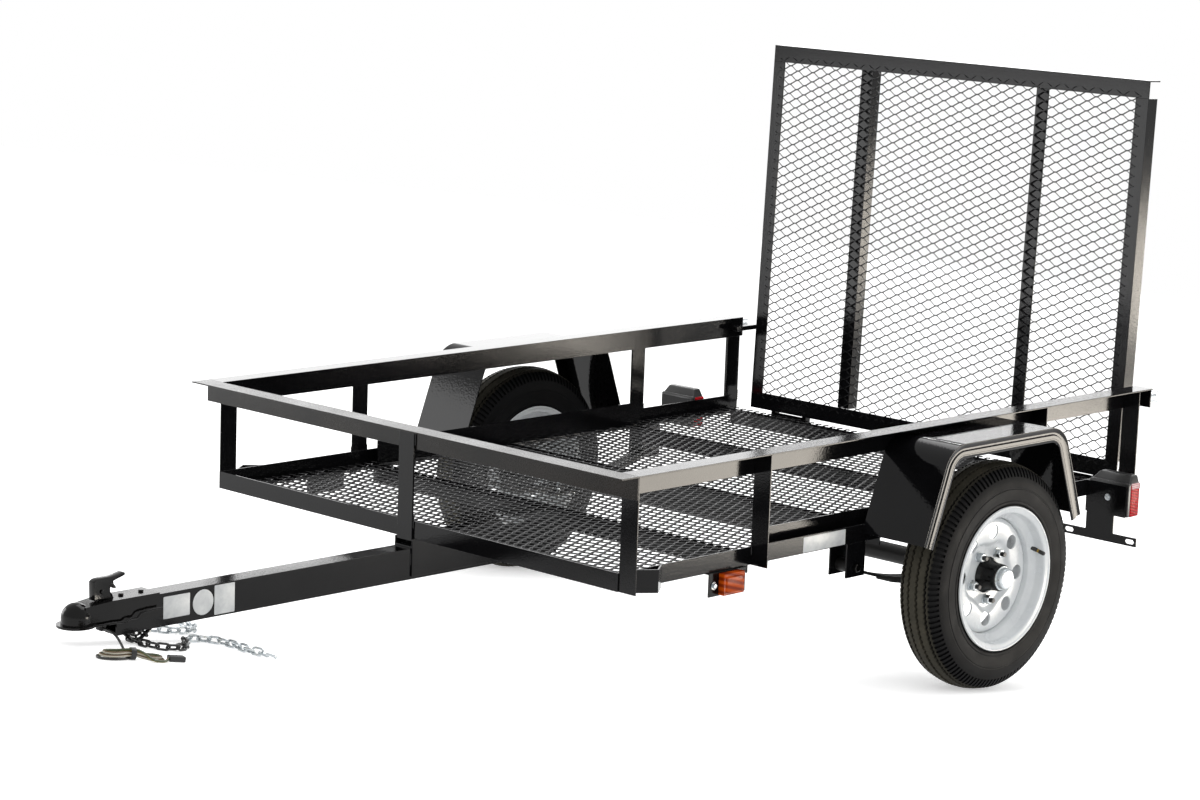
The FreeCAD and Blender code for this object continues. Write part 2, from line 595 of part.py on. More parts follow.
axle_line = {side: Vector(side * size["wheel_centre"], size["axle_y"], size["tyre_r"]) for name, side in SIDES}
disc_x = ("wheel_centre+10", "wheel_centre+14")
VENT_PHASE, LUG_PHASE = -3.5, 54


def around(count, circle, phase=0.0):
    """Places evenly round the axle, as formulas."""
    for step in range(count):
        turn = math.radians(phase + 360.0 * step / count)
        yield f"axle_y+{circle}*({math.cos(turn):.6f})", f"tyre_r+{circle}*({math.sin(turn):.6f})"


for name, side in SIDES:
    node(f"tyre_{name}", group(revolve(tyre_outline(side), axle_line[side])))
    barrel = revolve(rim_outline(side), axle_line[side])
    disc = cut(fuse(rod("x", "bead_r-15", *disc_x, side=side, **AT_AXLE),
                    rod("x", "dish_r+4", "wheel_centre", "wheel_centre+14", side=side, **AT_AXLE)),
               rod("x", "dish_r", "wheel_centre+4", "wheel_centre+20", side=side, **AT_AXLE))
    vents = [rod("x", "vent_r", "wheel_centre+5", "wheel_centre+20", y=y, z=z, side=side)
             for y, z in around(8, "vent_circle_r", VENT_PHASE)]
    centre_hole = rod("x", "34", "wheel_centre-5", "wheel_centre+20", side=side, **AT_AXLE)
    studs = [rod("x", "lug_r+0.5", "wheel_centre-5", "wheel_centre+10", y=y, z=z, side=side)
             for y, z in around(5, "lug_circle_r", LUG_PHASE)]
    node(f"rim_{name}", cut(fuse(barrel, disc), centre_hole, *vents, *studs))
    hub = fuse(rod("x", "72", "wheel_centre-8", "wheel_centre", side=side, **AT_AXLE),
               rod("x", "31", "wheel_centre-50", "wheel_centre+50", side=side, **AT_AXLE),
               *[rod("x", "lug_r", "wheel_centre-8", "wheel_centre+30", y=y, z=z, side=side)
                 for y, z in around(5, "lug_circle_r", LUG_PHASE)])
    node(f"hub_{name}", cut(hub, rod("x", "spindle_r+hub_play", "wheel_centre-60", "wheel_centre+46",
                                     side=side, **AT_AXLE)))
    node(f"hub_cap_{name}", group(rod("x", "25", "wheel_centre+50", "wheel_centre+68", side=side, **AT_AXLE)))
    wheel_nodes += [f"{piece}_{name}" for piece in ("tyre", "rim", "hub", "hub_cap")]

# ---- Ramp gate: an angle frame with two braces and mesh, on hinge pins under its lower rail.
GATE_X = ("-gate_half", "gate_half")
GATE_Y = ("gate_y", "gate_y+steel")


def gate_rail(low, high, shelf):
    """A rail with one leg facing forwards and one leg to the rear."""
    return [box(GATE_X, GATE_Y, (low, high)), box(GATE_X, ("gate_y", "gate_y+gate_rail"), shelf)]


node("gate_top_rail", fuse(*gate_rail("gate_top-gate_rail", "gate_top", ("gate_top-steel", "gate_top"))))
HINGE_X = ("(gate_half-127)", "(127-gate_half)")
hinge_axis = {"y": "gate_y+gate_rail/2", "z": "gate_foot-hinge_drop"}
lugs = []
for centre in HINGE_X:
    lugs += [box((f"{centre}{low}", f"{centre}{high}"), ("gate_y+gate_rail/2-hinge_r", "gate_y+gate_rail/2+hinge_r"),
                 ("gate_foot-hinge_drop", "gate_foot")) for low, high in (("-62", "-48"), ("+48", "+62"))]
    lugs.append(rod("x", "hinge_r", f"{centre}-62", f"{centre}+62", **hinge_axis))
node("gate_bottom_rail", fuse(
    *gate_rail("gate_foot", "gate_foot+gate_rail", ("gate_foot", "gate_foot+steel")), *lugs))
BETWEEN_RAILS = ("gate_foot+gate_rail", "gate_top-gate_rail")
for name, side in SIDES:
    node(f"gate_post_{name}", fuse(
        box(("gate_half-gate_post", "gate_half"), GATE_Y, BETWEEN_RAILS, side),
        box(("gate_half-steel", "gate_half"), ("gate_y", "gate_y+gate_post"), BETWEEN_RAILS, side)))
mesh_y = ("gate_y+steel", "gate_y+steel+mesh_wall")
node("gate_mesh", group(box(("gate_post-gate_half", "gate_half-gate_post"), mesh_y, BETWEEN_RAILS)))
# Each brace has its rearward leg on the side of the gate's middle.
node("gate_braces", group(*[fuse(
    box(("285-gate_brace/2", "285+gate_brace/2"),
        ("gate_y+steel+mesh_wall", "gate_y+2*steel+mesh_wall"), BETWEEN_RAILS, side),
    box(("285-gate_brace/2", "285-gate_brace/2+steel"),
        ("gate_y+steel+mesh_wall", "gate_y+mesh_wall+gate_brace"), BETWEEN_RAILS, side)) for name, side in SIDES]))
gate_nodes = ["gate_top_rail", "gate_bottom_rail", "gate_post_left", "gate_post_right", "gate_mesh", "gate_braces"]

# The hinge sleeves stand on arms welded to the rear sill.
sleeves = []
for centre in HINGE_X:
    span = (f"{centre}-42", f"{centre}+42")
    sleeve = fuse(rod("x", "hinge_r+hinge_play+sleeve_wall", *span, **hinge_axis),
                  box(span, ("bed_length", "gate_y+gate_rail/2"),
                      ("gate_foot-hinge_drop-hinge_r-sleeve_wall", "gate_foot-hinge_drop-hinge_r")),
                  box(span, ("bed_length", "bed_length+sleeve_wall"),
                      ("gate_foot-hinge_drop-hinge_r-sleeve_wall", "deck_z")))
    sleeves.append(cut(sleeve, rod("x", "hinge_r+hinge_play", f"{centre}-50", f"{centre}+50", **hinge_axis)))
node("hinge_sleeves", group(*sleeves))

# The latches are bars on the rails' rear ends that fork round the gate's posts.
node("gate_latches", group(*[fuse(
    box(("gate_half+8", "bed_half-steel"), ("rail_length-60", "rail_length+20"), ("rail_top-30", "rail_top-18"), side),
    box(("gate_half+8", "gate_half+16"), ("rail_length-60", "gate_y+gate_post+12"), ("rail_top-30", "rail_top-18"), side))
    for name, side in SIDES]))

doc.recompute()

# ---- Parking: the level trailer turns about its axle until its front meets the ground.
def turned_by(pitch):
    """The level trailer, turned nose down about its axle."""
    return Placement(Vector(), Rotation(Vector(1, 0, 0), pitch), Vector(0, size["axle_y"], size["tyre_r"]))


def lowest(thing, placing):
    shape = thing.Shape.copy()
    shape.Placement = placing
    return shape.optimalBoundingBox(False).ZMin


nose = [nodes[label] for label in ("chain_bracket", "coupler_body", "harness_clip", "tongue_tube")]
low_pitch, high_pitch = 0.0, 30.0
while high_pitch - low_pitch > 1e-6:
    pitch = (low_pitch + high_pitch) / 2
    if min(lowest(thing, turned_by(pitch)) for thing in nose) > 0:
        low_pitch = pitch
    else:
        high_pitch = pitch
turned = turned_by(pitch)
lean = Placement(Vector(), Rotation(Vector(1, 0, 0), -size["gate_lean"]),
                 Vector(0, size["gate_y"] + size["gate_rail"] / 2, size["gate_foot"] - size["hinge_drop"]))


def own_placement(label, trailer):
    return trailer.multiply(lean) if label in gate_nodes else trailer


# The origin is on the ground under the middle of the parked trailer.
whole = FreeCAD.BoundBox()
for label, thing in nodes.items():
    thing.Placement = own_placement(label, turned)
doc.recompute()
for thing in nodes.values():
    whole.add(thing.Shape.optimalBoundingBox(False))
parked = Placement(Vector(0, -whole.Center.y, 0), Rotation()).multiply(turned)
for label, thing in nodes.items():
    thing.Placement = own_placement(label, parked)


# ---- Safety chains: each hangs on one leg of the bar and lies on the ground beside the tongue.
def link_shape():
    """One link, its length along X and its width along Y."""
    wire_r, bend = size["link_wire"] / 2, (size["link_inner"] + size["link_wire"]) / 2
    straight = size["link_pitch"] / 2 + wire_r - bend
    corners = [Vector(-straight, -bend, 0), Vector(straight, -bend, 0),
               Vector(straight, bend, 0), Vector(-straight, bend, 0)]
    right = Part.Arc(corners[1], Vector(straight + bend, 0, 0), corners[2]).toShape()
    left = Part.Arc(corners[3], Vector(-straight - bend, 0, 0), corners[0]).toShape()
    path = Part.Wire([Part.LineSegment(corners[0], corners[1]).toShape(), right,
                      Part.LineSegment(corners[2], corners[3]).toShape(), left])
    return round_tube(path, wire_r)


hook_bend = 10.0


def hook_shape():
    """An S-hook, its length along X and its two bends end to end."""
    r = hook_bend

    def on_circle(centre, degrees):
        turn = math.radians(degrees)
        return Vector(centre + r * math.cos(turn), r * math.sin(turn), 0)

    first = Part.Arc(on_circle(-r, -110), on_circle(-r, 125), on_circle(-r, 0)).toShape()
    second = Part.Arc(on_circle(r, 180), on_circle(r, -55), on_circle(r, 70)).toShape()
    return round_tube(Part.Wire([first, second]), size["hook_wire"] / 2)


def chain(bar_point, side, yaws, rolls, fall):
    """Links from the bar outwards: each one's heading and roll, and the height it lies at."""
    wire_r, bend = size["link_wire"] / 2, (size["link_inner"] + size["link_wire"]) / 2
    step = size["link_pitch"] - size["link_slack"]
    reach = size["link_pitch"] / 2 + wire_r - (size["chain_bar_r"] + wire_r + 0.3)
    places = [bar_point + Vector(side * reach, 0, 0)]
    to_hook = size["link_pitch"] / 2 + 2 * hook_bend - size["hook_wire"] / 2 - 0.6
    for count, yaw in enumerate(yaws[1:], start=1):
        heading = math.radians((yaws[count - 1] + yaw) / 2)
        half_wide, half_wire = (hook_bend, size["hook_wire"] / 2) if count == len(yaws) - 1 else (bend, wire_r)
        lying = half_wide * abs(math.sin(math.radians(rolls[count]))) + half_wire + 0.4
        drop = max(lying - places[-1].z, -fall)
        length = to_hook if count == len(yaws) - 1 else step
        flat = math.sqrt(length * length - drop * drop)
        places.append(places[-1] + Vector(side * flat * math.cos(heading), flat * math.sin(heading), drop))
    shapes = []
    for count, place in enumerate(places):
        ahead = places[min(count + 1, len(places) - 1)] - places[max(count - 1, 0)]
        ahead = Vector(side, 0, 0) if count == 0 else ahead
        if count == len(places) - 1:
            ahead.z = 0
        ahead.normalize()
        shape = hook_shape() if count == len(places) - 1 else link_shape()
        level = Vector(0, 0, 1).cross(ahead).normalize()
        roll = Rotation(ahead, rolls[count])
        across = roll.multVec(level)
        shape.Placement = Placement(place, Rotation(ahead, across, ahead.cross(across), "XYZ"))
        shapes.append(shape)
    return Part.Compound(shapes)


YAWS_LEFT = [0, 0, 6, 24, 48, 76, 104, 130, 148, 150, 136, 112, 86, 60, 36, 14, 0, -6, -4, 4, 10, 12]
YAWS_RIGHT = [0, 4, 16, 36, 58, 80, 100, 116, 120, 110, 92, 70, 48, 28, 12, 2, -6, -16, -26, -30, -28, -24]
alternate = [45 if count % 2 else -45 for count in range(22)]
ROLLS_LEFT = [57, -36] + [-turn for turn in alternate[2:18]] + [52, -34, 62, -20]
ROLLS_RIGHT = [46, -42] + [-turn for turn in alternate[2:18]] + [52, -34, 62, -20]


def bar_point(leg, share):
    """A point on the chain bar's centre line, on the ground's axes."""
    (y0, z0), (y1, z1) = BAR_STOPS[leg], BAR_STOPS[leg + 1]
    return parked.multVec(Vector(0, y0 + (y1 - y0) * share, z0 + (z1 - z0) * share))


node("safety_chain_left", solid(chain(bar_point(0, 0.70), 1, YAWS_LEFT, ROLLS_LEFT, 2.6)))
node("safety_chain_right", solid(chain(bar_point(2, 0.35), -1, YAWS_RIGHT, ROLLS_RIGHT, 4.0)))

# ---- Wiring: the lead leaves the clip, comes down to the ground and ends in a tied hank.
exit_point = parked.multVec(Vector(clip_x, (CLIP_Y[0] + CLIP_Y[1]) / 2, lip_z - 12))
lead_low = size["lead_d"] / 2 + 0.6
# Each point: how far out, how far forward, and its share of the exit's height.
LEAD_STOPS = [(0, 0, 1), (24, 0, 1), (48, -3, 0.78), (71, -9, 0.43), (94, -18, 0.14), (116, -28, 0), (139, -36, 0)]
stops = [Vector(exit_point.x + out, exit_point.y + ahead, lead_low + (exit_point.z - lead_low) * share)
         for out, ahead, share in LEAD_STOPS]
# Each arc is the largest that its point's two runs allow.
radii = [0.45 * min((here - before).Length, (after - here).Length) / math.tan((here - before).getAngle(after - here) / 2)
         for before, here, after in zip(stops, stops[1:], stops[2:])]
lead_path = rounded_path(stops, radii)
lead = round_tube(lead_path, size["lead_d"] / 2)
print("lead radii", [round(radius, 1) for radius in radii], "length", round(lead_path.Length, 1),
      "volume ratio", round(lead.Volume / (lead_path.Length * math.pi * size["lead_d"] ** 2 / 4), 5))
print("lead points", [tuple(round(value, 2) for value in stop) for stop in stops])
node("harness_lead", solid(lead))

# The bundle seen from above, drawn from its tie; the lead comes in square to the tie's side.
HANK_EDGE = [(-8, -9), (8, -9), (20, -13), (34, -18), (52, -20), (68, -16), (76, -8), (76, 8), (66, 17), (50, 20),
             (32, 18), (18, 12), (7, 9), (-7, 9), (-20, 13), (-38, 18), (-54, 18), (-63, 11), (-66, 0), (-62, -12),
             (-50, -18), (-34, -16), (-20, -12)]
HANK_LOW, HANK_SHOULDER, HANK_HIGH = 0.6, 14.6, 19.6
heading = math.degrees(math.atan2(stops[-1].y - stops[-2].y, stops[-1].x - stops[-2].x))
hank_place = Placement(Vector(stops[-1].x, stops[-1].y, 0), Rotation(Vector(0, 0, 1), heading + 90)).multiply(
    Placement(Vector(0, -9, 0), Rotation()))


def bundle_slab(low, high, share):
    edge = [Vector(x * share, y * share, low) for x, y in HANK_EDGE]
    return Part.Face(Part.makePolygon(edge + edge[:1])).extrude(Vector(0, 0, high - low))


hank = node("harness_hank", solid(bundle_slab(HANK_LOW, HANK_SHOULDER, 1).fuse(
    bundle_slab(HANK_SHOULDER - 1, HANK_HIGH, 0.88)).removeSplitter()))
hank.Placement = hank_place
plug = node("harness_plug", solid(Part.makeBox(34, 22, 11, Vector(76, -11, 0.6))))
plug.Placement = hank_place
print("hank at", hank_place.Base, "turned", round(heading + 90, 3))

doc.recompute()

# ---- Check and write.
for thing in doc.Objects:
    if "Invalid" in thing.State or "Error" in thing.State:
        raise RuntimeError(f"{thing.Label} failed: {thing.State}")
os.makedirs("parts", exist_ok=True)
for label, thing in nodes.items():
    shape = thing.Shape
    if shape.isNull() or not shape.isValid() or not shape.Solids:
        raise RuntimeError(f"{label} has no valid solid")
    shape.exportStep(f"parts/{label}.step")
print(f"pitch {pitch:.4f} degrees, origin moved {-whole.Center.y:.3f}, {len(nodes)} nodes")
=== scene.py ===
import json
import math

import bmesh
import bpy
from mathutils import Matrix, Vector


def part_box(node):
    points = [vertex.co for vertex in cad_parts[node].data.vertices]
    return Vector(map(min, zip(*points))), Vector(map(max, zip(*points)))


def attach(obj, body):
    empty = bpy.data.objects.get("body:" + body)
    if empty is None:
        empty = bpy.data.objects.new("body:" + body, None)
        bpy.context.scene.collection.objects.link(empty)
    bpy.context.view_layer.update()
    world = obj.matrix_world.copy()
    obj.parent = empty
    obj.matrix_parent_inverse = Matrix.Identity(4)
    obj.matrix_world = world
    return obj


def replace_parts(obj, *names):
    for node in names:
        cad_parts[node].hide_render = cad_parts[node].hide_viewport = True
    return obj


# Utility trailer: gloss black angle-iron bed with a mesh floor, mesh ramp gate, ball coupler,
# two chains and a wiring lead. Lengths are in metres, and in millimetres where a comment, a
# docstring or a _mm in a name says so. New pieces are drawn with the deck level, as the trailer
# is built, and then parked nose down with the rest.

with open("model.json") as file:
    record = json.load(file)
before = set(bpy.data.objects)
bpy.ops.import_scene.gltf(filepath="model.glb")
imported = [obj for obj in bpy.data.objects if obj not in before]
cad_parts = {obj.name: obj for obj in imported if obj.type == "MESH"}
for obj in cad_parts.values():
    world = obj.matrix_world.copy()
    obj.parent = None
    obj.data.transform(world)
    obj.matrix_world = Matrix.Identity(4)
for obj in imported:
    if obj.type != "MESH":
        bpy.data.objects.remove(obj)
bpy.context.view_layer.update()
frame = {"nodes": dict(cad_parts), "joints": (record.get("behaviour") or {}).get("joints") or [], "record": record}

joints = {joint["name"]: joint for joint in frame["joints"]}
socket = next(m for m in frame["record"]["mounts"] if m["name"] == "coupler_socket")
axle = Vector(joints["wheel_left_spin"]["pos_m"])
pitch = math.atan2(socket["axis"][1], -socket["axis"][2])
# The axle with the deck level: parking turns the trailer about it.
AXLE_LEVEL = Vector((0, 1.097, 0.265))
AXLE_MM = AXLE_LEVEL * 1000
parked = (Matrix.Translation((0, axle.y, axle.z)) @ Matrix.Rotation(pitch, 4, "X")
          @ Matrix.Translation(-AXLE_LEVEL))
# The gate leans back a little about its hinge, and its mesh is drawn upright.
HINGE_LEVEL = Vector((0, 1.8424, 0.352))
GATE_LEAN = math.radians(2.17)
leaning = (parked @ Matrix.Translation(HINGE_LEVEL) @ Matrix.Rotation(-GATE_LEAN, 4, "X")
           @ Matrix.Translation(-HINGE_LEVEL))

# ---- Camera: a long lens off the front left corner, a little above the rails.
CAMERA_TURN, CAMERA_RISE, CAMERA_ROLL = 44.051, 10.113, 2.017
CAMERA_STAND = (5.1599, -4.7323, 1.93076)
LENS_MM, SENSOR_MM = 97.184, 36


def place_camera():
    """The camera turned round the trailer, raised and rolled by its three angles in degrees."""
    turn, rise, roll = (math.radians(angle) for angle in (CAMERA_TURN, CAMERA_RISE, CAMERA_ROLL))
    back = Vector((math.sin(turn) * math.cos(rise), -math.cos(turn) * math.cos(rise), math.sin(rise)))
    right = Vector((math.cos(turn), math.sin(turn), 0))
    up = back.cross(right)
    across = right * math.cos(roll) + up * math.sin(roll)
    upward = up * math.cos(roll) - right * math.sin(roll)
    stand = Matrix((across, upward, back)).transposed().to_4x4()
    stand.translation = CAMERA_STAND
    camera = bpy.data.objects.new("camera", bpy.data.cameras.new("camera"))
    bpy.context.scene.collection.objects.link(camera)
    camera.data.sensor_width = SENSOR_MM
    camera.data.lens = LENS_MM
    camera.data.clip_end = 100
    camera.matrix_world = parked @ stand
    bpy.context.scene.camera = camera


place_camera()


# ---- Finishes.
def linear(colour):
    """An sRGB hex colour as the linear values a shader takes."""
    shares = [int(colour[i:i + 2], 16) / 255 for i in (1, 3, 5)]
    return tuple(s / 12.92 if s <= 0.04045 else ((s + 0.055) / 1.055) ** 2.4 for s in shares) + (1.0,)


def add(tree, kind, inputs=(), stops=(), **settings):
    """A shader node with its settings, its (place, colour) stops, its values and its links."""
    made = tree.nodes.new("ShaderNode" + kind)
    for name, value in settings.items():
        setattr(made, name, value)
    if stops:
        band = made.color_ramp.elements
        band[0].position, band[0].color = stops[0]
        band[1].position, band[1].color = stops[-1]
        for place, colour in stops[1:-1]:
            band.new(place).color = colour
    for name, value in dict(inputs).items():
        if isinstance(value, bpy.types.NodeSocket):
            tree.links.new(value, made.inputs[name])
        else:
            made.inputs[name].default_value = value
    return made


def start_finish(name):
    """A new material with its tree, its shader and its object coordinates."""
    made = bpy.data.materials.new(name)
    made.use_nodes = True
    tree = made.node_tree
    where = add(tree, "TexCoord").outputs["Object"]
    return made, tree, tree.nodes["Principled BSDF"], where


def grey(value):
    """A plain number as a grey colour stop."""
    return (value, value, value, 1.0)


def powder_coat(name, colour, dusty, peel_mm, peel_depth, rough):
    """Black powder coat on steel: a hard gloss with orange peel and a little dust that dulls it."""
    made, tree, shader, where = start_finish(name)
    peel = add(tree, "TexNoise", {"Vector": where, "Scale": 1000 / peel_mm, "Detail": 1.0, "Roughness": 0.4})
    cloud = add(tree, "TexNoise", {"Vector": where, "Scale": 1000 / 180, "Detail": 4.0, "Roughness": 0.6})
    grit = add(tree, "TexNoise", {"Vector": where, "Scale": 1000 / 2.5, "Detail": 2.0})
    tint = add(tree, "ValToRGB", {"Fac": cloud.outputs["Fac"]},
               [(0.35, linear(colour)), (0.75, linear(dusty))])
    tree.links.new(tint.outputs["Color"], shader.inputs["Base Color"])
    mixed = add(tree, "Math", {0: cloud.outputs["Fac"], 1: grit.outputs["Fac"]}, operation="MULTIPLY")
    dull = add(tree, "ValToRGB", {"Fac": mixed.outputs[0]}, [(0.1, grey(rough[0])), (0.45, grey(rough[1]))])
    tree.links.new(dull.outputs["Color"], shader.inputs["Roughness"])
    bump = add(tree, "Bump", {"Height": peel.outputs["Fac"], "Strength": 0.35, "Distance": peel_depth})
    tree.links.new(bump.outputs["Normal"], shader.inputs["Normal"])
    shader.inputs["Specular IOR Level"].default_value = 0.18
    return made


def zinc_plated():
    """Bright zinc plate on steel: a cool grey metal, mottled by the bath, dull in patches."""
    made, tree, shader, where = start_finish("bright zinc plated steel")
    bath = add(tree, "TexNoise", {"Vector": where, "Scale": 1000 / 14, "Detail": 5.0, "Roughness": 0.65})
    grain = add(tree, "TexNoise", {"Vector": where, "Scale": 1000 / 1.5, "Detail": 2.0})
    tint = add(tree, "ValToRGB", {"Fac": bath.outputs["Fac"]},
               [(0.3, linear("#8d9498")), (0.55, linear("#c2c7ca")), (0.75, linear("#a9a89c"))])
    tree.links.new(tint.outputs["Color"], shader.inputs["Base Color"])
    dull = add(tree, "ValToRGB", {"Fac": bath.outputs["Fac"]}, [(0.3, grey(0.42)), (0.7, grey(0.24))])
    tree.links.new(dull.outputs["Color"], shader.inputs["Roughness"])
    bump = add(tree, "Bump", {"Height": grain.outputs["Fac"], "Strength": 0.3, "Distance": 0.0002})
    tree.links.new(bump.outputs["Normal"], shader.inputs["Normal"])
    shader.inputs["Metallic"].default_value = 1.0
    return made


def wheel_enamel():
    """White baked enamel on the pressed wheel: smooth, with faint grime in soft random patches."""
    made, tree, shader, where = start_finish("white baked wheel enamel")
    cloud = add(tree, "TexNoise", {"Vector": where, "Scale": 1000 / 60, "Detail": 4.0, "Roughness": 0.6})
    peel = add(tree, "TexNoise", {"Vector": where, "Scale": 1000 / 3.5, "Detail": 1.0})
    tint = add(tree, "ValToRGB", {"Fac": cloud.outputs["Fac"]},
               [(0.35, linear("#e6e9ea")), (0.8, linear("#d5d9dc"))])
    tree.links.new(tint.outputs["Color"], shader.inputs["Base Color"])
    dull = add(tree, "ValToRGB", {"Fac": cloud.outputs["Fac"]}, [(0.3, grey(0.2)), (0.8, grey(0.34))])
    tree.links.new(dull.outputs["Color"], shader.inputs["Roughness"])
    bump = add(tree, "Bump", {"Height": peel.outputs["Fac"], "Strength": 0.2, "Distance": 0.0003})
    tree.links.new(bump.outputs["Normal"], shader.inputs["Normal"])
    return made


def tyre_rubber():
    """Vulcanised tyre rubber: matt black sides, and ribs turned brownish by dust from the road."""
    made, tree, shader, where = start_finish("vulcanised tyre rubber")
    bloom = add(tree, "TexNoise", {"Vector": where, "Scale": 1000 / 45, "Detail": 5.0, "Roughness": 0.65})
    grain = add(tree, "TexNoise", {"Vector": where, "Scale": 1000 / 1.6, "Detail": 3.0})
    sides = add(tree, "ValToRGB", {"Fac": bloom.outputs["Fac"]},
                [(0.3, linear("#0d0d0e")), (0.6, linear("#121213")), (0.8, linear("#1b1a18"))])
    ribs = add(tree, "ValToRGB", {"Fac": bloom.outputs["Fac"]},
               [(0.3, linear("#3b3931")), (0.6, linear("#47443b")), (0.8, linear("#565145"))])
    # The ribs are what stands further than about 257 mm from the axle line.
    across = add(tree, "VectorMath", {0: where, 1: (0, 1, 1)}, operation="MULTIPLY")
    away = add(tree, "VectorMath", {0: across.outputs["Vector"], 1: (0, axle.y, axle.z)},
               operation="DISTANCE")
    worn = add(tree, "ValToRGB", {"Fac": away.outputs["Value"]},
               [(0.2555, grey(0.0)), (0.2590, grey(1.0))])
    both = add(tree, "Mix", {"Factor": worn.outputs["Color"], "A": sides.outputs["Color"],
                             "B": ribs.outputs["Color"]}, data_type="RGBA")
    tree.links.new(both.outputs["Result"], shader.inputs["Base Color"])
    dull = add(tree, "ValToRGB", {"Fac": bloom.outputs["Fac"]}, [(0.3, grey(0.5)), (0.8, grey(0.72))])
    tree.links.new(dull.outputs["Color"], shader.inputs["Roughness"])
    bump = add(tree, "Bump", {"Height": grain.outputs["Fac"], "Strength": 0.4, "Distance": 0.0003})
    tree.links.new(bump.outputs["Normal"], shader.inputs["Normal"])
    shader.inputs["Specular IOR Level"].default_value = 0.08
    return made


def moulded(name, colours, rough, grain_mm):
    """Moulded plastic: one colour with soft flow marks and a spark-eroded grain."""
    made, tree, shader, where = start_finish(name)
    flow = add(tree, "TexNoise", {"Vector": where, "Scale": 1000 / 25, "Detail": 3.0})
    grain = add(tree, "TexNoise", {"Vector": where, "Scale": 1000 / grain_mm, "Detail": 2.0})
    tint = add(tree, "ValToRGB", {"Fac": flow.outputs["Fac"]},
               [(0.35, linear(colours[0])), (0.7, linear(colours[1]))])
    tree.links.new(tint.outputs["Color"], shader.inputs["Base Color"])
    dull = add(tree, "ValToRGB", {"Fac": flow.outputs["Fac"]}, [(0.3, grey(rough[0])), (0.8, grey(rough[1]))])
    tree.links.new(dull.outputs["Color"], shader.inputs["Roughness"])
    bump = add(tree, "Bump", {"Height": grain.outputs["Fac"], "Strength": 0.3, "Distance": 0.0002})
    tree.links.new(bump.outputs["Normal"], shader.inputs["Normal"])
    return made


def lens_acrylic(name, deep, bright, rib_mm):
    """Coloured acrylic lens: deep colour with prism ribs inside, under a smooth clear face."""
    made, tree, shader, where = start_finish(name)
    level = add(tree, "Mapping", {"Vector": where, "Rotation": (pitch, 0, 0)})
    ribs = add(tree, "TexWave", {"Vector": level.outputs["Vector"], "Scale": 1000 / rib_mm / math.pi,
                                 "Distortion": 0.4}, bands_direction="Z")
    tint = add(tree, "ValToRGB", {"Fac": ribs.outputs["Fac"]}, [(0.15, linear(deep)), (0.85, linear(bright))])
    tree.links.new(tint.outputs["Color"], shader.inputs["Base Color"])
    bump = add(tree, "Bump", {"Height": ribs.outputs["Fac"], "Strength": 0.25, "Distance": 0.0006})
    tree.links.new(bump.outputs["Normal"], shader.inputs["Normal"])
    shader.inputs["Roughness"].default_value = 0.26
    shader.inputs["Specular IOR Level"].default_value = 0.08
    return made


def wire_bundle():
    """The lead: black PVC sheath, then four bonded wires in brown, green, yellow and white."""
    made, tree, shader, where = start_finish("black sheath and four bonded wires")
    uv = add(tree, "SeparateXYZ", {"Vector": add(tree, "TexCoord").outputs["UV"]})
    along, around = uv.outputs["X"], uv.outputs["Y"]
    bands = add(tree, "ValToRGB", {"Fac": around},
                [(0, linear("#5a4226")), (0.25, linear("#3f4a2c")), (0.5, linear("#8f8145")),
                 (0.75, linear("#b9b4a4"))])
    bands.color_ramp.interpolation = "CONSTANT"
    sheath = add(tree, "Math", {0: along, 1: SHEATH_SHARE}, operation="LESS_THAN")
    soil = add(tree, "TexNoise", {"Vector": where, "Scale": 1000 / 12, "Detail": 3.0})
    jacket = add(tree, "ValToRGB", {"Fac": soil.outputs["Fac"]},
                 [(0.3, linear("#151515")), (0.8, linear("#242321"))])
    both = add(tree, "Mix", {"Factor": sheath.outputs[0], "A": bands.outputs["Color"],
                             "B": jacket.outputs["Color"]}, data_type="RGBA")
    tree.links.new(both.outputs["Result"], shader.inputs["Base Color"])
    lobes = add(tree, "Math", {0: around, 1: 4 * math.pi}, operation="MULTIPLY")
    wave = add(tree, "Math", {0: lobes.outputs[0]}, operation="SINE")
    depth = add(tree, "Math", {0: wave.outputs[0]}, operation="ABSOLUTE")
    bare = add(tree, "Math", {0: sheath.outputs[0], 1: depth.outputs[0]}, operation="MAXIMUM")
    bump = add(tree, "Bump", {"Height": bare.outputs[0], "Strength": 0.8, "Distance": 0.0012})
    tree.links.new(bump.outputs["Normal"], shader.inputs["Normal"])
    shader.inputs["Roughness"].default_value = 0.38
    return made


def dipped_chain():
    """Bright zinc chain whose first links are dipped in the tongue's black paint."""
    made = zinc_plated()
    made.name = "bright zinc chain, first links painted black"
    tree = made.node_tree
    shader = next(node for node in tree.nodes if node.type == "BSDF_PRINCIPLED")
    where = add(tree, "TexCoord").outputs["Object"]
    low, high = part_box("chain_bracket")
    bar = ((low[0] + high[0]) / 2, (low[1] + high[1]) / 2, low[2])
    away = add(tree, "VectorMath", {0: where, 1: bar}, operation="DISTANCE")
    # The paint ends 118 to 126 mm from the bracket's bar.
    bare = add(tree, "ValToRGB", {"Fac": away.outputs["Value"]}, [(0.118, grey(0.0)), (0.126, grey(1.0))])
    plate = shader.inputs["Base Color"].links[0].from_socket
    paint = add(tree, "Mix", {"Factor": bare.outputs["Color"], "A": linear("#0b0b0b"), "B": plate},
                data_type="RGBA")
    tree.links.new(paint.outputs["Result"], shader.inputs["Base Color"])
    tree.links.new(bare.outputs["Color"], shader.inputs["Metallic"])
    return made


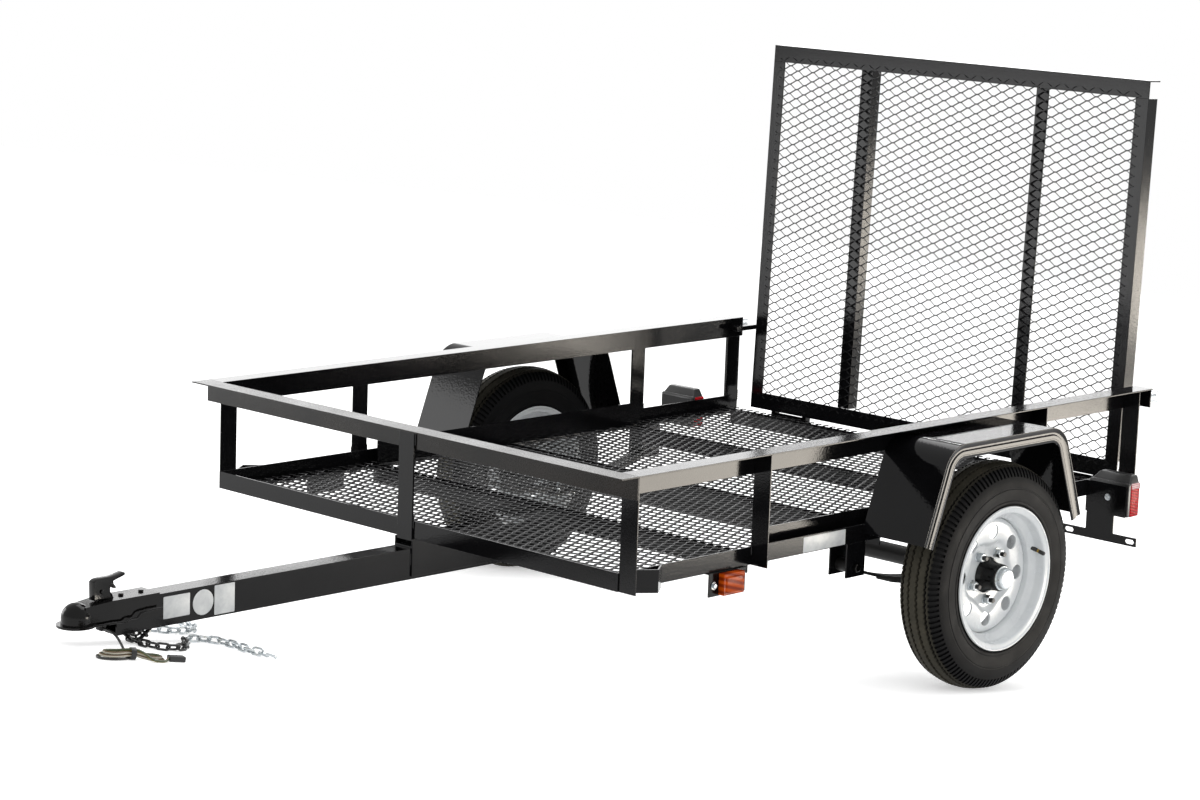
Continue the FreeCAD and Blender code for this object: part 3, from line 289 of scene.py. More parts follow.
def brass():
    """Plain brass on the valve's collar: a warm metal with fine turning marks."""
    made, tree, shader, where = start_finish("turned brass")
    lathe = add(tree, "TexWave", {"Vector": where, "Scale": 1000 / 1.2, "Distortion": 1.5},
                bands_direction="X")
    tint = add(tree, "ValToRGB", {"Fac": lathe.outputs["Fac"]},
               [(0.2, linear("#8f7434")), (0.8, linear("#c7a558"))])
    tree.links.new(tint.outputs["Color"], shader.inputs["Base Color"])
    shader.inputs["Metallic"].default_value = 1.0
    shader.inputs["Roughness"].default_value = 0.32
    return made


def vinyl_label():
    """Blank white vinyl: a faint grey mottle, slightly lifted and glossy."""
    made, tree, shader, where = start_finish("blank white vinyl")
    cloud = add(tree, "TexNoise", {"Vector": where, "Scale": 1000 / 22, "Detail": 4.0, "Roughness": 0.6})
    tint = add(tree, "ValToRGB", {"Fac": cloud.outputs["Fac"]},
               [(0.3, linear("#c4c7c8")), (0.7, linear("#dcdedd"))])
    tree.links.new(tint.outputs["Color"], shader.inputs["Base Color"])
    bump = add(tree, "Bump", {"Height": cloud.outputs["Fac"], "Strength": 0.2, "Distance": 0.0004})
    tree.links.new(bump.outputs["Normal"], shader.inputs["Normal"])
    shader.inputs["Roughness"].default_value = 0.35
    return made


# The black sheath covers this share of the lead, from the clip on.
SHEATH_SHARE = 0.17
FINISHES = {
    "frame_paint": powder_coat("gloss black powder coat", "#09090a", "#101012", 3.2, 0.0004, (0.07, 0.16)),
    "mesh_paint": powder_coat("black powder coat on expanded metal", "#0a0a0b", "#121214", 2.0, 0.0002,
                              (0.16, 0.3)),
    "coupler_paint": powder_coat("black enamel on cast steel", "#070707", "#0e0d0c", 2.6, 0.0005,
                                 (0.06, 0.18)),
    "fender_paint": powder_coat("gloss black coat on fender sheet", "#09090a", "#0f0f11", 5.0, 0.0003,
                                (0.04, 0.1)),
    "front_rail_paint": powder_coat("dusty black powder coat", "#0b0a09", "#201b16", 2.2, 0.0006,
                                    (0.16, 0.34)),
    "axle_paint": powder_coat("satin black chassis paint", "#101010", "#1a1918", 2.4, 0.0004, (0.34, 0.5)),
    "zinc_plate": zinc_plated(),
    "chain": dipped_chain(),
    "wheel_paint": wheel_enamel(),
    "tyre_rubber": tyre_rubber(),
    "lamp_housing": moulded("black moulded ABS", ("#121212", "#1a1a1a"), (0.28, 0.4), 1.2),
    "red_lens": lens_acrylic("red acrylic lens", "#94060e", "#c8101c", 7.0),
    "amber_lens": lens_acrylic("amber acrylic lens", "#842903", "#c24c07", 14.0),
    "black_plastic": moulded("black moulded nylon", ("#131313", "#1c1b1a"), (0.4, 0.55), 1.0),
    "wire_jacket": wire_bundle(),
    "brass": brass(),
    "vinyl_label": vinyl_label(),
    # The pale lens finish colours a painted highlight on the tail lens's upper outer corner.
    "pale_lens": lens_acrylic("pale acrylic reflector strip", "#c98f92", "#e6c9c8", 5.0),
}

for node in frame["nodes"].values():
    for holder in node.material_slots:
        plain = holder.material.name.split(".")[0]
        if plain in FINISHES:
            holder.material = FINISHES[plain]
for chain in ("safety_chain_left", "safety_chain_right"):
    frame["nodes"][chain].material_slots[0].material = FINISHES["chain"]
frame["nodes"]["top_rail_front"].material_slots[0].material = FINISHES["front_rail_paint"]


# ---- Modelling by hand: each piece starts as a primitive and is shaped in edit mode.
# Points closer than this are one point: in a whole piece, and where an outline meets its start.
MERGE, MERGE_ENDS = 0.00002, 0.00001
# The way along X on which each side lies.
SIDES = {1: "left", -1: "right"}


def clear():
    """Back in object mode with nothing selected."""
    if bpy.context.mode != "OBJECT":
        bpy.ops.object.mode_set(mode="OBJECT")
    bpy.ops.object.select_all(action="DESELECT")


def begin(name, kind="plane", **settings):
    """A primitive in edit mode, all of it selected."""
    clear()
    getattr(bpy.ops.mesh, f"primitive_{kind}_add")(**settings)
    piece = bpy.context.object
    piece.name = piece.data.name = name
    bpy.ops.object.transform_apply(location=True, rotation=True, scale=True)
    bpy.ops.object.mode_set(mode="EDIT")
    bpy.ops.mesh.select_mode(type="FACE")
    bpy.ops.mesh.select_all(action="SELECT")
    return piece


def choose(piece, what, test):
    """Selects the verts, edges or faces whose middle and normal, or an edge's direction, pass a test."""
    bpy.ops.mesh.select_mode(type={"verts": "VERT", "edges": "EDGE", "faces": "FACE"}[what])
    bpy.ops.mesh.select_all(action="DESELECT")
    shape = bmesh.from_edit_mesh(piece.data)
    for part in getattr(shape, what):
        if what == "verts":
            part.select_set(test(part.co, part.normal))
        elif what == "faces":
            part.select_set(test(part.calc_center_median(), part.normal))
        else:
            near, far = (corner.co for corner in part.verts)
            if test((near + far) / 2, (far - near).normalized()):
                part.select_set(True)
    shape.select_flush_mode()
    bmesh.update_edit_mesh(piece.data)


def shift(step):
    """Moves what is selected by a step."""
    bpy.ops.transform.translate(value=step)


def pull(step):
    """Extrudes what is selected by a step."""
    bpy.ops.mesh.extrude_region_move(TRANSFORM_OT_translate={"value": step})


def step_in(thickness, step):
    """Insets what is selected and moves its middle by a step."""
    bpy.ops.mesh.inset(thickness=thickness)
    shift(step)


def draw_line(name, stops):
    """A chain of edges through the stops, drawn by pulling one corner from stop to stop."""
    piece = begin(name, size=0.01, location=stops[0])
    bpy.ops.mesh.select_mode(type="VERT")
    bpy.ops.mesh.merge(type="CENTER")
    for here, after in zip(stops, stops[1:]):
        pull(Vector(after) - Vector(here))
    return piece


def draw_face(name, stops):
    """An outline through the stops, filled with one face."""
    piece = draw_line(name, stops + stops[:1])
    bpy.ops.mesh.select_all(action="SELECT")
    bpy.ops.mesh.remove_doubles(threshold=MERGE_ENDS)
    bpy.ops.mesh.edge_face_add()
    return piece


def apply_modifiers(piece):
    """Applies the piece's modifiers in their order."""
    clear()
    piece.select_set(True)
    bpy.context.view_layer.objects.active = piece
    for modifier in list(piece.modifiers):
        bpy.ops.object.modifier_apply(modifier=modifier.name)


def outwards(piece):
    """All faces turned outwards, once double points are merged."""
    clear()
    bpy.context.view_layer.objects.active = piece
    bpy.ops.object.mode_set(mode="EDIT")
    bpy.ops.mesh.select_all(action="SELECT")
    bpy.ops.mesh.remove_doubles(threshold=MERGE)
    bpy.ops.mesh.normals_make_consistent(inside=False)
    bpy.ops.object.mode_set(mode="OBJECT")


def finish_piece(piece, finish, body, place=parked, smooth=35):
    """Puts the piece's mesh in its place, gives it its finish, and lets it ride on its body."""
    clear()
    piece.data.transform(place @ piece.matrix_world)
    piece.matrix_world = Matrix.Identity(4)
    piece.data.materials.clear()
    piece.data.materials.append(FINISHES[finish])
    piece.select_set(True)
    bpy.context.view_layer.objects.active = piece
    bpy.ops.object.shade_smooth_by_angle(angle=math.radians(smooth))
    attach(piece, body)
    return piece


def copy_at(piece, name, place):
    """A copy with its own mesh, moved by a matrix."""
    twin = piece.copy()
    twin.data = piece.data.copy()
    twin.name = twin.data.name = name
    twin.data.transform(place)
    bpy.context.scene.collection.objects.link(twin)
    return twin


def join(pieces, name):
    """Several pieces as one."""
    clear()
    for piece in pieces:
        piece.select_set(True)
    bpy.context.view_layer.objects.active = pieces[0]
    bpy.ops.object.join()
    pieces[0].name = pieces[0].data.name = name
    return pieces[0]


def level_box(node, place=parked):
    """Lowest and highest corner of a CAD node with the deck level."""
    back = place.inverted()
    corners = [back @ corner.co for corner in frame["nodes"][node].data.vertices]
    return (Vector([min(c[i] for c in corners) for i in range(3)]),
            Vector([max(c[i] for c in corners) for i in range(3)]))


# ---- The wiring lead: one smooth spline from the clip along the ground, then its hank's turns.
LEAD = [(0.01400, -1.28216, 0.03219), (0.03800, -1.28216, 0.03219), (0.06200, -1.28516, 0.02586),
        (0.08500, -1.29116, 0.01578), (0.10800, -1.30016, 0.00743), (0.13000, -1.31016, 0.00340),
        (0.15100, -1.31746, 0.00340)]
HANK = Matrix.Translation((0.16150, -1.32112, 0)) @ Matrix.Rotation(math.radians(70.82), 4, "Z")
# The turns in the hank's own axes, in millimetres: X along it, Y across, the tie at the origin.
TURNS = [
    (-4, 0, 3.4), (-18, -10, 3.4), (-34, -17, 3.4), (-54, -20, 3.4), (-70, -12, 3.4), (-73, 4, 3.4),
    (-66, 17, 3.6), (-50, 20, 4), (-34, 16, 5), (-18, 9, 7.6), (-7, 5.4, 9.4), (7, 5.2, 9.4), (19, 9, 7),
    (34, 16, 4.4), (47, 20, 3.4), (61, 15, 3.4), (66, 0, 3.4), (61, -15, 3.4), (47, -19, 3.4),
    (34, -15, 4.4), (19, -8, 7), (7, -5, 9.4), (-7, -5.2, 9.8), (-19, -10, 9.4), (-33, -16, 9),
    (-48, -20, 9), (-63, -15, 9), (-68, 0, 9), (-62, 14, 9), (-46, 18, 9.2), (-32, 14, 10.4),
    (-18, 7, 12.8), (-7, 4, 15), (7, 4.4, 15), (19, 8, 12.6), (33, 14, 10), (44, 17, 9.2), (56, 13, 9),
    (61, -1, 9), (56, -14, 9), (43, -17, 9.2), (31, -12, 10.2), (18, -6, 12.8), (7, -4, 15),
    (-7, -4, 15.2), (-19, -8, 15), (-31, -13, 14.8), (-43, -17, 14.6), (-57, -12, 14.6), (-61, 1, 14.6),
    (-55, 13, 14.6), (-42, 14, 15), (-29, 9, 16.4), (-17, 3, 19), (-6, 0, 20.6), (6, -1, 20.6),
    (16, -6, 18.6), (27, -15, 12), (36, -24, 5.6), (48, -27, 3.6), (62, -24, 4), (70, -14, 5),
    (73, -6, 6), (80, -2, 6.1), (88, 0, 6.1)]


def lead_curve(name, thick):
    """The lead's spline through its route and its hank, with a round section."""
    line = bpy.data.curves.new(name, "CURVE")
    line.dimensions = "3D"
    spline = line.splines.new("NURBS")
    stops = [Vector(stop) for stop in LEAD] + [HANK @ (Vector(stop) / 1000) for stop in TURNS]
    spline.points.add(len(stops) - 1)
    for point, stop in zip(spline.points, stops):
        point.co = (*stop, 1)
    spline.order_u = 3
    spline.use_endpoint_u = True
    spline.resolution_u = 6
    line.bevel_depth = thick
    line.bevel_resolution = 4
    line.use_fill_caps = True
    made = bpy.data.objects.new(name, line)
    bpy.context.scene.collection.objects.link(made)
    return made


lead = lead_curve("wiring_lead", 0.0028)
lead.data.materials.append(FINISHES["wire_jacket"])

# A black tape tie pinches the hank's middle.
tie = begin("hank_tie", "cylinder", vertices=28, radius=0.0118, depth=0.011, end_fill_type="NOTHING",
            location=(0, 0, 0.0124), rotation=(0, math.pi / 2, 0))
clear()
wall = tie.modifiers.new("wall", "SOLIDIFY")
wall.thickness, wall.offset = 0.0008, 1
round_off = tie.modifiers.new("edge", "BEVEL")
round_off.width, round_off.segments = 0.0003, 2
apply_modifiers(tie)
finish_piece(tie, "black_plastic", "trailer", HANK)

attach(lead, "trailer")
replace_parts(lead, "harness_lead", "harness_hank")


# ---- Expanded metal: one wavy strand with a flat bond at each end of its diamonds, then rows of it.
LONG_WAY, SHORT_WAY = 0.0526, 0.0246
STRAND_WIDE, STRAND_THICK, BOND, ROLLED_OFF = 0.0030, 0.0021, 0.0085, 0.0009
# The deck's sheet stops inside its plate, the gate's runs in behind its frame, and each is drawn a
# little off its plate's face.
DECK_INSIDE, GATE_BEHIND, STRAND_LIFT = 0.002, 0.015, 0.0028


def expanded_metal(name, size, louvre):
    """A sheet of diamonds in the XY plane with a corner at the origin; its strands lean like louvres."""
    lean = math.radians(louvre)
    half = Vector((0, math.cos(lean), math.sin(lean))) * STRAND_WIDE / 2
    low, high = half, Vector((0, SHORT_WAY / 2, 0)) - half
    stops = [Vector((x, 0, 0)) + side for x, side in (
        (-LONG_WAY / 2, high), ((BOND - LONG_WAY) / 2, high), (-BOND / 2, low), (BOND / 2, low),
        ((LONG_WAY - BOND) / 2, high), (LONG_WAY / 2, high))]
    strand = begin(name, size=1, rotation=(0, math.pi / 2, 0))
    bpy.ops.transform.resize(value=(1, STRAND_WIDE, STRAND_THICK))
    bpy.ops.transform.rotate(value=-lean, orient_axis="X", center_override=(0, 0, 0))
    shift(stops[0])
    for here, after in zip(stops, stops[1:]):
        pull(after - here)
    choose(strand, "faces", lambda middle, normal: abs(normal.x) > 0.999)
    bpy.ops.mesh.delete(type="ONLY_FACE")
    # Rolling leaves a small flat on the crown of each bond.
    face = math.copysign(1, lean)
    crown = 2 * half.z + face * STRAND_THICK / 2 * math.cos(lean)
    bpy.ops.mesh.select_all(action="SELECT")
    bpy.ops.mesh.bisect(plane_co=(0, 0, crown - ROLLED_OFF * face), plane_no=(0, 0, face), use_fill=True,
                        clear_outer=True)
    clear()
    outwards(strand)
    columns, rows = int(size[0] / LONG_WAY) + 3, int(size[1] / SHORT_WAY) + 3
    for count, step in ((columns, (LONG_WAY, 0, 0)), (2, (LONG_WAY / 2, SHORT_WAY / 2, 0)),
                        (rows, (0, SHORT_WAY, 0))):
        row = strand.modifiers.new("rows", "ARRAY")
        row.count, row.use_relative_offset, row.use_constant_offset = count, False, True
        row.constant_offset_displace = step
        row.use_merge_vertices = step[1] == 0
        row.merge_threshold = 0.00005
    apply_modifiers(strand)
    strand.data.transform(Matrix.Translation((-LONG_WAY * 1.3, -SHORT_WAY * 1.2, 0)))
    bpy.ops.object.mode_set(mode="EDIT")
    for edge, away in (((0, 0, 0), (-1, 0, 0)), ((0, 0, 0), (0, -1, 0)),
                       ((size[0], 0, 0), (1, 0, 0)), ((0, size[1], 0), (0, 1, 0))):
        bpy.ops.mesh.select_all(action="SELECT")
        bpy.ops.mesh.bisect(plane_co=edge, plane_no=away, use_fill=True, clear_outer=True)
    clear()
    return strand


deck_low, deck_high = level_box("floor_mesh")
deck_size = (deck_high.y - deck_low.y - 2 * DECK_INSIDE, deck_high.x - deck_low.x - 2 * DECK_INSIDE)
deck = expanded_metal("floor_expanded_mesh", deck_size, -64)
deck_stand = Matrix(((0, 1, 0, deck_low.x + DECK_INSIDE), (1, 0, 0, deck_low.y + DECK_INSIDE),
                     (0, 0, -1, deck_high.z + STRAND_LIFT), (0, 0, 0, 1)))
finish_piece(deck, "mesh_paint", "trailer", parked @ deck_stand, smooth=20)
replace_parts(deck, "floor_mesh")

gate_low, gate_high = level_box("gate_mesh", leaning)
gate_size = (gate_high.x - gate_low.x + 2 * GATE_BEHIND, gate_high.z - gate_low.z + 2 * GATE_BEHIND)
panel = expanded_metal("gate_expanded_mesh", gate_size, 66)
panel_stand = Matrix(((1, 0, 0, gate_low.x - GATE_BEHIND), (0, 0, -1, gate_low.y - STRAND_LIFT),
                      (0, 1, 0, gate_low.z - GATE_BEHIND), (0, 0, 0, 1)))
finish_piece(panel, "mesh_paint", "gate", leaning @ panel_stand, smooth=20)
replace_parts(panel, "gate_mesh")


# ---- Tyres: one bias-ply carcass with five ribs, zigzag grooves and a notched shoulder.
STATIONS = 240
# The walls of the grooves stand past the groove floors and inside the outer ribs.
GROOVE_FLOOR, OUTER_RIB, ZIGZAG = 0.2522, 0.0352, 0.0016
# Each shoulder's notches: between two radii, and between two distances from the tyre's middle.
NOTCH_RADII, NOTCH_ACROSS, NOTCH_DEEP = (0.2368, 0.2574), (0.0385, 0.0540), 0.0046


def tyre_section():
    """Half the outside from bead to crown as (offset, radius) in millimetres, mirrored, then the inside."""
    half = [(53.0, 155.8), (53.6, 169.6), (55.4, 171.6), (57.4, 174.2), (57.6, 178.6), (56.6, 180.6),
            (58.2, 188), (59.4, 198), (59.8, 206.6), (58.8, 208.2), (58.8, 210), (59.5, 211.4),
            (58.2, 222), (56.4, 229.4), (54.4, 235.0), (52.0, 240.2), (46.6, 248.4), (41.4, 254.6),
            (38.4, 256.8), (34.6, 258.4), (33.2, 252.4), (29.4, 252.9), (28.0, 260.2), (14.4, 263.6),
            (13.0, 257.0), (9.2, 257.3), (7.8, 264.6)]
    inside = [(-43.6, 155.8), (-43.6, 169.5), (-50, 206), (-36, 240), (0, 251.8), (36, 240), (50, 206),
              (43.6, 169.5), (43.6, 155.8)]
    return half + [(-x, r) for x, r in reversed(half)] + inside


def make_tyre():
    """The left tyre: its section spun about the axle, then its grooves and its shoulders."""
    centre = Vector((axle.x, AXLE_LEVEL.y, AXLE_LEVEL.z))
    stops = [centre + Vector((x, 0, r)) / 1000 for x, r in tyre_section()]
    tyre = draw_line("tyre_tread_left", stops + stops[:1])
    bpy.ops.mesh.select_all(action="SELECT")
    bpy.ops.mesh.spin(steps=STATIONS, angle=2 * math.pi, center=centre, axis=(1, 0, 0))
    clear()
    outwards(tyre)
    bpy.ops.object.mode_set(mode="EDIT")

    def station(point, half=0.0):
        """Nought or one, in turn from station to station round the tyre."""
        turn = math.atan2(point.z - centre.z, point.y - centre.y) / (2 * math.pi / STATIONS) - half
        return math.floor(turn + 0.5) % 2

    def reach(point):
        """How far a point is from the axle line."""
        return math.hypot(point.y - centre.y, point.z - centre.z)

    # The groove walls step from side to side, one zigzag to each two stations.
    for place, step in ((0, ZIGZAG), (1, -ZIGZAG)):
        choose(tyre, "verts", lambda p, n: reach(p) > GROOVE_FLOOR and abs(p.x - centre.x) < OUTER_RIB
               and station(p) == place)
        shift((step, 0, 0))
    # Notches across both shoulders, two stations apart.
    choose(tyre, "faces", lambda p, n: NOTCH_RADII[0] < reach(p) < NOTCH_RADII[1]
           and NOTCH_ACROSS[0] < abs(p.x - centre.x) < NOTCH_ACROSS[1] and station(p, 0.5) == 0)
    bpy.ops.mesh.extrude_region_shrink_fatten(TRANSFORM_OT_shrink_fatten={"value": -NOTCH_DEEP})
    clear()
    return tyre


left_tyre = make_tyre()
right_tyre = copy_at(left_tyre, "tyre_tread_right", Matrix.Translation((-2 * axle.x, 0, 0)))
finish_piece(left_tyre, "tyre_rubber", "wheel_left", smooth=28)
finish_piece(right_tyre, "tyre_rubber", "wheel_right", smooth=28)
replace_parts(left_tyre, "tyre_left")
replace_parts(right_tyre, "tyre_right")


# ---- Turned parts and hexagons, made once at the origin along X and copied.
def turned(name, stops, steps=24):
    """A part turned on the X axis from (along, radius) stops in millimetres."""
    piece = draw_line(name, [Vector((x, 0, r)) / 1000 for x, r in stops])
    bpy.ops.mesh.select_all(action="SELECT")
    bpy.ops.mesh.spin(steps=steps, angle=2 * math.pi, center=(0, 0, 0), axis=(1, 0, 0))
    clear()
    outwards(piece)
    return piece


def hexagon(name, flats, tall):
    """A hexagon nut or head in millimetres, with rounded corners and a dome, its seat at X = 0."""
    piece = begin(name, "cylinder", vertices=6, radius=flats / math.sqrt(3) / 1000, depth=tall / 1000,
                  location=(tall / 2000, 0, 0), rotation=(0, math.pi / 2, 0))
    choose(piece, "faces", lambda p, n: n.x > 0.9)
    step_in(flats * 0.09 / 1000, (flats * 0.07 / 1000, 0, 0))
    clear()
    soft = piece.modifiers.new("soft", "BEVEL")
    soft.width, soft.segments = 0.0005, 2
    apply_modifiers(piece)
    return piece


def set_at(piece, name, point, facing=(1, 0, 0), roll=0.0):
    """A copy of a part made along X, seated at a point in millimetres and facing a direction."""
    turn = Vector((1, 0, 0)).rotation_difference(Vector(facing)).to_matrix().to_4x4()
    seat = Matrix.Translation(Vector(point) / 1000)
    return copy_at(piece, name, seat @ turn @ Matrix.Rotation(roll, 4, "X"))


def drop(piece):
    """Takes a pattern part away once its copies are made."""
    bpy.data.objects.remove(piece, do_unlink=True)


# ---- Wheels: a welded rim and pressed disc, hubs, bright cone nuts and rubber valves.
WHEEL_STATIONS = 120
# Five nuts and eight air holes stand on circles round the axle; a phase is where the first one is.
NUTS, LUG_PHASE, LUG_MM = 5, 54, 57.15
VENTS, VENT_PHASE, VENT_MM, VENT_R_MM = 8, -3.5, 102, 17
# The dish's wall lies between two radii, and its scale swings about one share by the other.
DISH_WALL, DISH_SHARE, LOBE_SHARE = (0.0704, 0.0890), 0.985, 0.075
# The dish's floor stands out from the wheel's middle, a nut stands off that floor on its seat, and
# the valve leans out of its foot in the rim.
DISH_FLOOR_MM, SEAT_MM, VALVE_MM, VALVE_LEAN = 4, 2.6, (26, 142, 47.5), (0.94, 0.12, -0.30)


def pressed_wheel(name):
    """Barrel and disc spun on the X axis at the origin, a lobed dish, and eight round holes."""
    tyre_side = [(59.2, 167.9), (57.0, 168.0), (55.2, 166.6), (54.4, 163.6), (54.2, 157.5), (53.0, 155.2),
                 (50.0, 154.2), (35.0, 153.8), (32.6, 152.4), (24.0, 140.2), (20.0, 138.0)]
    air_side = [(20.0, 135.0), (22.8, 136.2), (31.0, 148.6), (34.5, 150.8), (52.0, 151.4), (55.4, 152.4),
                (57.2, 155.0), (57.6, 161.0), (58.8, 163.0), (60.6, 164.4), (60.8, 166.6)]
    across = [(-x, r) for x, r in reversed(tyre_side)] + [(-x, r) for x, r in reversed(air_side)]
    section = tyre_side + across + air_side
    barrel = turned("barrel", section + section[:1], WHEEL_STATIONS)
    face = [(-6, 134.6), (4, 134.4), (8.6, 133.0), (11.6, 130.0), (13.4, 126.2), (14.0, 121.6), (14.0, 88.6),
            (13.2, 84.4), (10.4, 80.6), (7.4, 77.6), (5.2, 74.6), (4.0, 70.6), (4.0, 35.4)]
    back = [(0.4, 35.4), (0.4, 72.4), (1.8, 77.4), (4.6, 81.6), (8.0, 84.8), (10.2, 88.6), (10.4, 121.4),
            (9.4, 125.6), (6.6, 128.8), (2.6, 130.6), (-6, 130.8)]
    disc = turned("disc", face + back + face[:1], WHEEL_STATIONS)
    bpy.ops.object.mode_set(mode="EDIT")
    # The dish's wall bulges out around each nut: its stations are scaled by their turn from the
    # nearest nut, in steps of one station.
    station, between = 360 / WHEEL_STATIONS, 360 / NUTS
    farthest = round(between / 2 / station)
    for part in range(farthest + 1):
        def near(point):
            """Whether the nearest nut is this many stations away."""
            turn = math.degrees(math.atan2(point.z, point.y)) - LUG_PHASE
            return round(abs((turn + between / 2) % between - between / 2) / station) == part
        choose(disc, "verts", lambda p, n: DISH_WALL[0] < math.hypot(p.y, p.z) < DISH_WALL[1] and near(p))
        grow = DISH_SHARE + LOBE_SHARE * math.cos(math.pi * part / farthest)
        bpy.ops.transform.resize(value=(1, grow, grow), center_override=(0, 0, 0))
    clear()
    drill = begin("drill", "cylinder", vertices=28, radius=VENT_R_MM / 1000, depth=0.03,
                  location=(0.012, 0, 0), rotation=(0, math.pi / 2, 0))
    clear()
    drills = []
    for step in range(VENTS):
        turn = math.radians(VENT_PHASE + 360 / VENTS * step)
        place = (0, VENT_MM / 1000 * math.cos(turn), VENT_MM / 1000 * math.sin(turn))
        drills.append(copy_at(drill, f"drill_{step}", Matrix.Translation(place)))
    cutter = join(drills, "drills")
    holes = disc.modifiers.new("holes", "BOOLEAN")
    holes.operation, holes.solver, holes.object = "DIFFERENCE", "EXACT", cutter
    apply_modifiers(disc)
    drop(drill)
    drop(cutter)
    return join([barrel, disc], name)


def mirrored(piece):
    """The mirror image, for the right, of a part made for the left."""
    piece.data.transform(Matrix.Scale(-1, 4, (1, 0, 0)))
    outwards(piece)
    return piece


wheel = pressed_wheel("pressed_wheel")
hub = turned("hub_casting", [(-50, 15.4), (-50, 31), (-12, 31), (-8, 34), (-8, 70.5), (-6.5, 72), (-1.5, 72),
                             (-0.2, 70.5), (-0.2, 34), (4.4, 34), (4.4, 41.6), (6.6, 42.2), (9.4, 40.4),
                             (14, 36.8), (21, 34.0), (30, 32.4), (46.5, 31.4), (49, 30.6), (50, 29.2),
                             (50, 0.1), (46, 0.1), (46, 15.4), (-50, 15.4)], 48)
hub_cap = turned("pressed_hub_cap", [(50, 0.1), (50, 27.6), (51.2, 28.2), (52.6, 27.8), (53.2, 25.6),
                                     (61.5, 25.2), (64.6, 24.2), (66.8, 21.6), (67.8, 17.6), (68, 12),
                                     (68, 0.1)], 48)
nut = hexagon("wheel_nut", 19, 12.5)
cone = turned("wheel_nut_seat", [(-0.6, 0.1), (-0.6, 8.5), (0.4, 12.0), (1.6, 12.2), (2.6, 11.0), (3.2, 0.1)])
stud = turned("wheel_stud", [(-12, 0.1), (-12, 6.3), (11, 6.3), (11.6, 5.8), (25, 5.8), (26, 5.0),
                             (26, 0.1)], 16)
valve = turned("valve_stem", [(-3, 0.1), (-3, 8.2), (0.5, 8.2), (3.5, 5.8), (14, 4.8), (15, 4.4),
                              (15, 0.1)], 16)
collar = turned("valve_collar", [(15, 0.1), (15, 4.5), (19.5, 4.5), (19.5, 0.1)], 16)
cap = turned("valve_cap", [(19.5, 0.1), (19.5, 4.9), (32, 4.7), (34, 3.4), (34, 0.1)], 16)
for side, name in SIDES.items():
    body = f"wheel_{name}"
    middle = Matrix.Translation((side * axle.x, AXLE_LEVEL.y, AXLE_LEVEL.z))
    for pattern, cad, finish in ((wheel, "rim", "wheel_paint"), (hub, "hub", "coupler_paint"),
                                 (hub_cap, "hub_cap", "zinc_plate")):
        piece = copy_at(pattern, f"{pattern.name}_{name}", Matrix.Identity(4))
        piece = piece if side > 0 else mirrored(piece)
        piece.data.transform(middle)
        finish_piece(piece, finish, body, smooth=40)
        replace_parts(piece, f"{cad}_{name}")
    nuts, studs = [], []
    for step in range(NUTS):
        turn = math.radians(LUG_PHASE + 360 / NUTS * step)
        place = (side * (axle.x * 1000 + DISH_FLOOR_MM), AXLE_MM.y + LUG_MM * math.cos(turn),
                 AXLE_MM.z + LUG_MM * math.sin(turn))
        on_seat = (place[0] + side * SEAT_MM, place[1], place[2])
        nuts.append(set_at(nut, f"nut_{step}", on_seat, (side, 0, 0), turn))
        nuts.append(set_at(cone, f"seat_{step}", place, (side, 0, 0)))
        studs.append(set_at(stud, f"stud_{step}", place, (side, 0, 0)))
    finish_piece(join(nuts, f"wheel_nuts_{name}"), "zinc_plate", body)
    finish_piece(join(studs, f"wheel_studs_{name}"), "black_plastic", body)
    foot = (side * (axle.x * 1000 + VALVE_MM[0]), AXLE_MM.y + VALVE_MM[1], AXLE_MM.z + VALVE_MM[2])
    lean = Vector((side * VALVE_LEAN[0], VALVE_LEAN[1], VALVE_LEAN[2])).normalized()
    for pattern, finish in ((valve, "black_plastic"), (collar, "brass"), (cap, "black_plastic")):
        finish_piece(set_at(pattern, f"{pattern.name}_{name}", foot, lean), finish, body)
for pattern in (wheel, hub, hub_cap, nut, cone, stud, valve, collar, cap):
    drop(pattern)


# ---- Fender lips: the outer edge is folded under into a hem, and follows the bent sheet.
# The lip starts this far out from the trailer's middle.
LIP_EDGE = 0.8268


def fender_lip(side):
    """The lip of one fender: its section pulled up, over and down along the outer edge."""
    edge = side * LIP_EDGE
    # The sheet's middle, half its top and half its foot, its two heights and the radius of its bends.
    middle, top, foot, low, high, bend = 1.077, 0.210, 0.28997, 0.382, 0.600, 0.072
    lean = math.atan2(foot - top, high - low)
    up, inward = Vector((0, math.sin(lean), math.cos(lean))), Vector((0, math.cos(lean), -math.sin(lean)))
    # The section: a narrow edge, a hollow, and a flat hem with a crease along it, as millimetres
    # outward and inward.
    section = [(0.0, 0.2), (2.6, 0.2), (3.4, 0.8), (3.4, 2.2), (2.9, 2.9), (0.4, 15.4), (0.7, 16.2),
               (2.8, 17.0), (3.6, 17.8), (3.6, 24.4), (3.1, 24.8), (3.1, 25.2), (3.6, 25.6), (3.6, 32.2),
               (2.8, 33.4), (1.2, 33.8), (0.0, 33.8)]
    start = Vector((edge, middle - foot, low))
    stops = [start + Vector((side * out / 1000, 0, 0)) + inward * deep / 1000 for out, deep in section]
    lip = draw_face(f"fender_lip_{SIDES[side]}", stops)
    # Each straight run is pulled, and each round corner is spun about the middle of its bend.
    reach = bend * math.tan((math.pi / 2 - lean) / 2)
    run = math.hypot(foot - top, high - low) - reach
    pull(up * run)
    for turn_y, onward in ((middle - top + reach, Vector((0, 2 * (top - reach), 0))),
                           (middle + top - reach, Vector((0, up.y, -up.z)) * run)):
        bpy.ops.mesh.spin(steps=12, angle=math.pi / 2 - lean, center=(edge, turn_y, high - bend),
                          axis=(1, 0, 0))
        pull(onward)
    clear()
    outwards(lip)
    finish_piece(lip, "fender_paint", "trailer", smooth=40)


fender_lip(1)
fender_lip(-1)


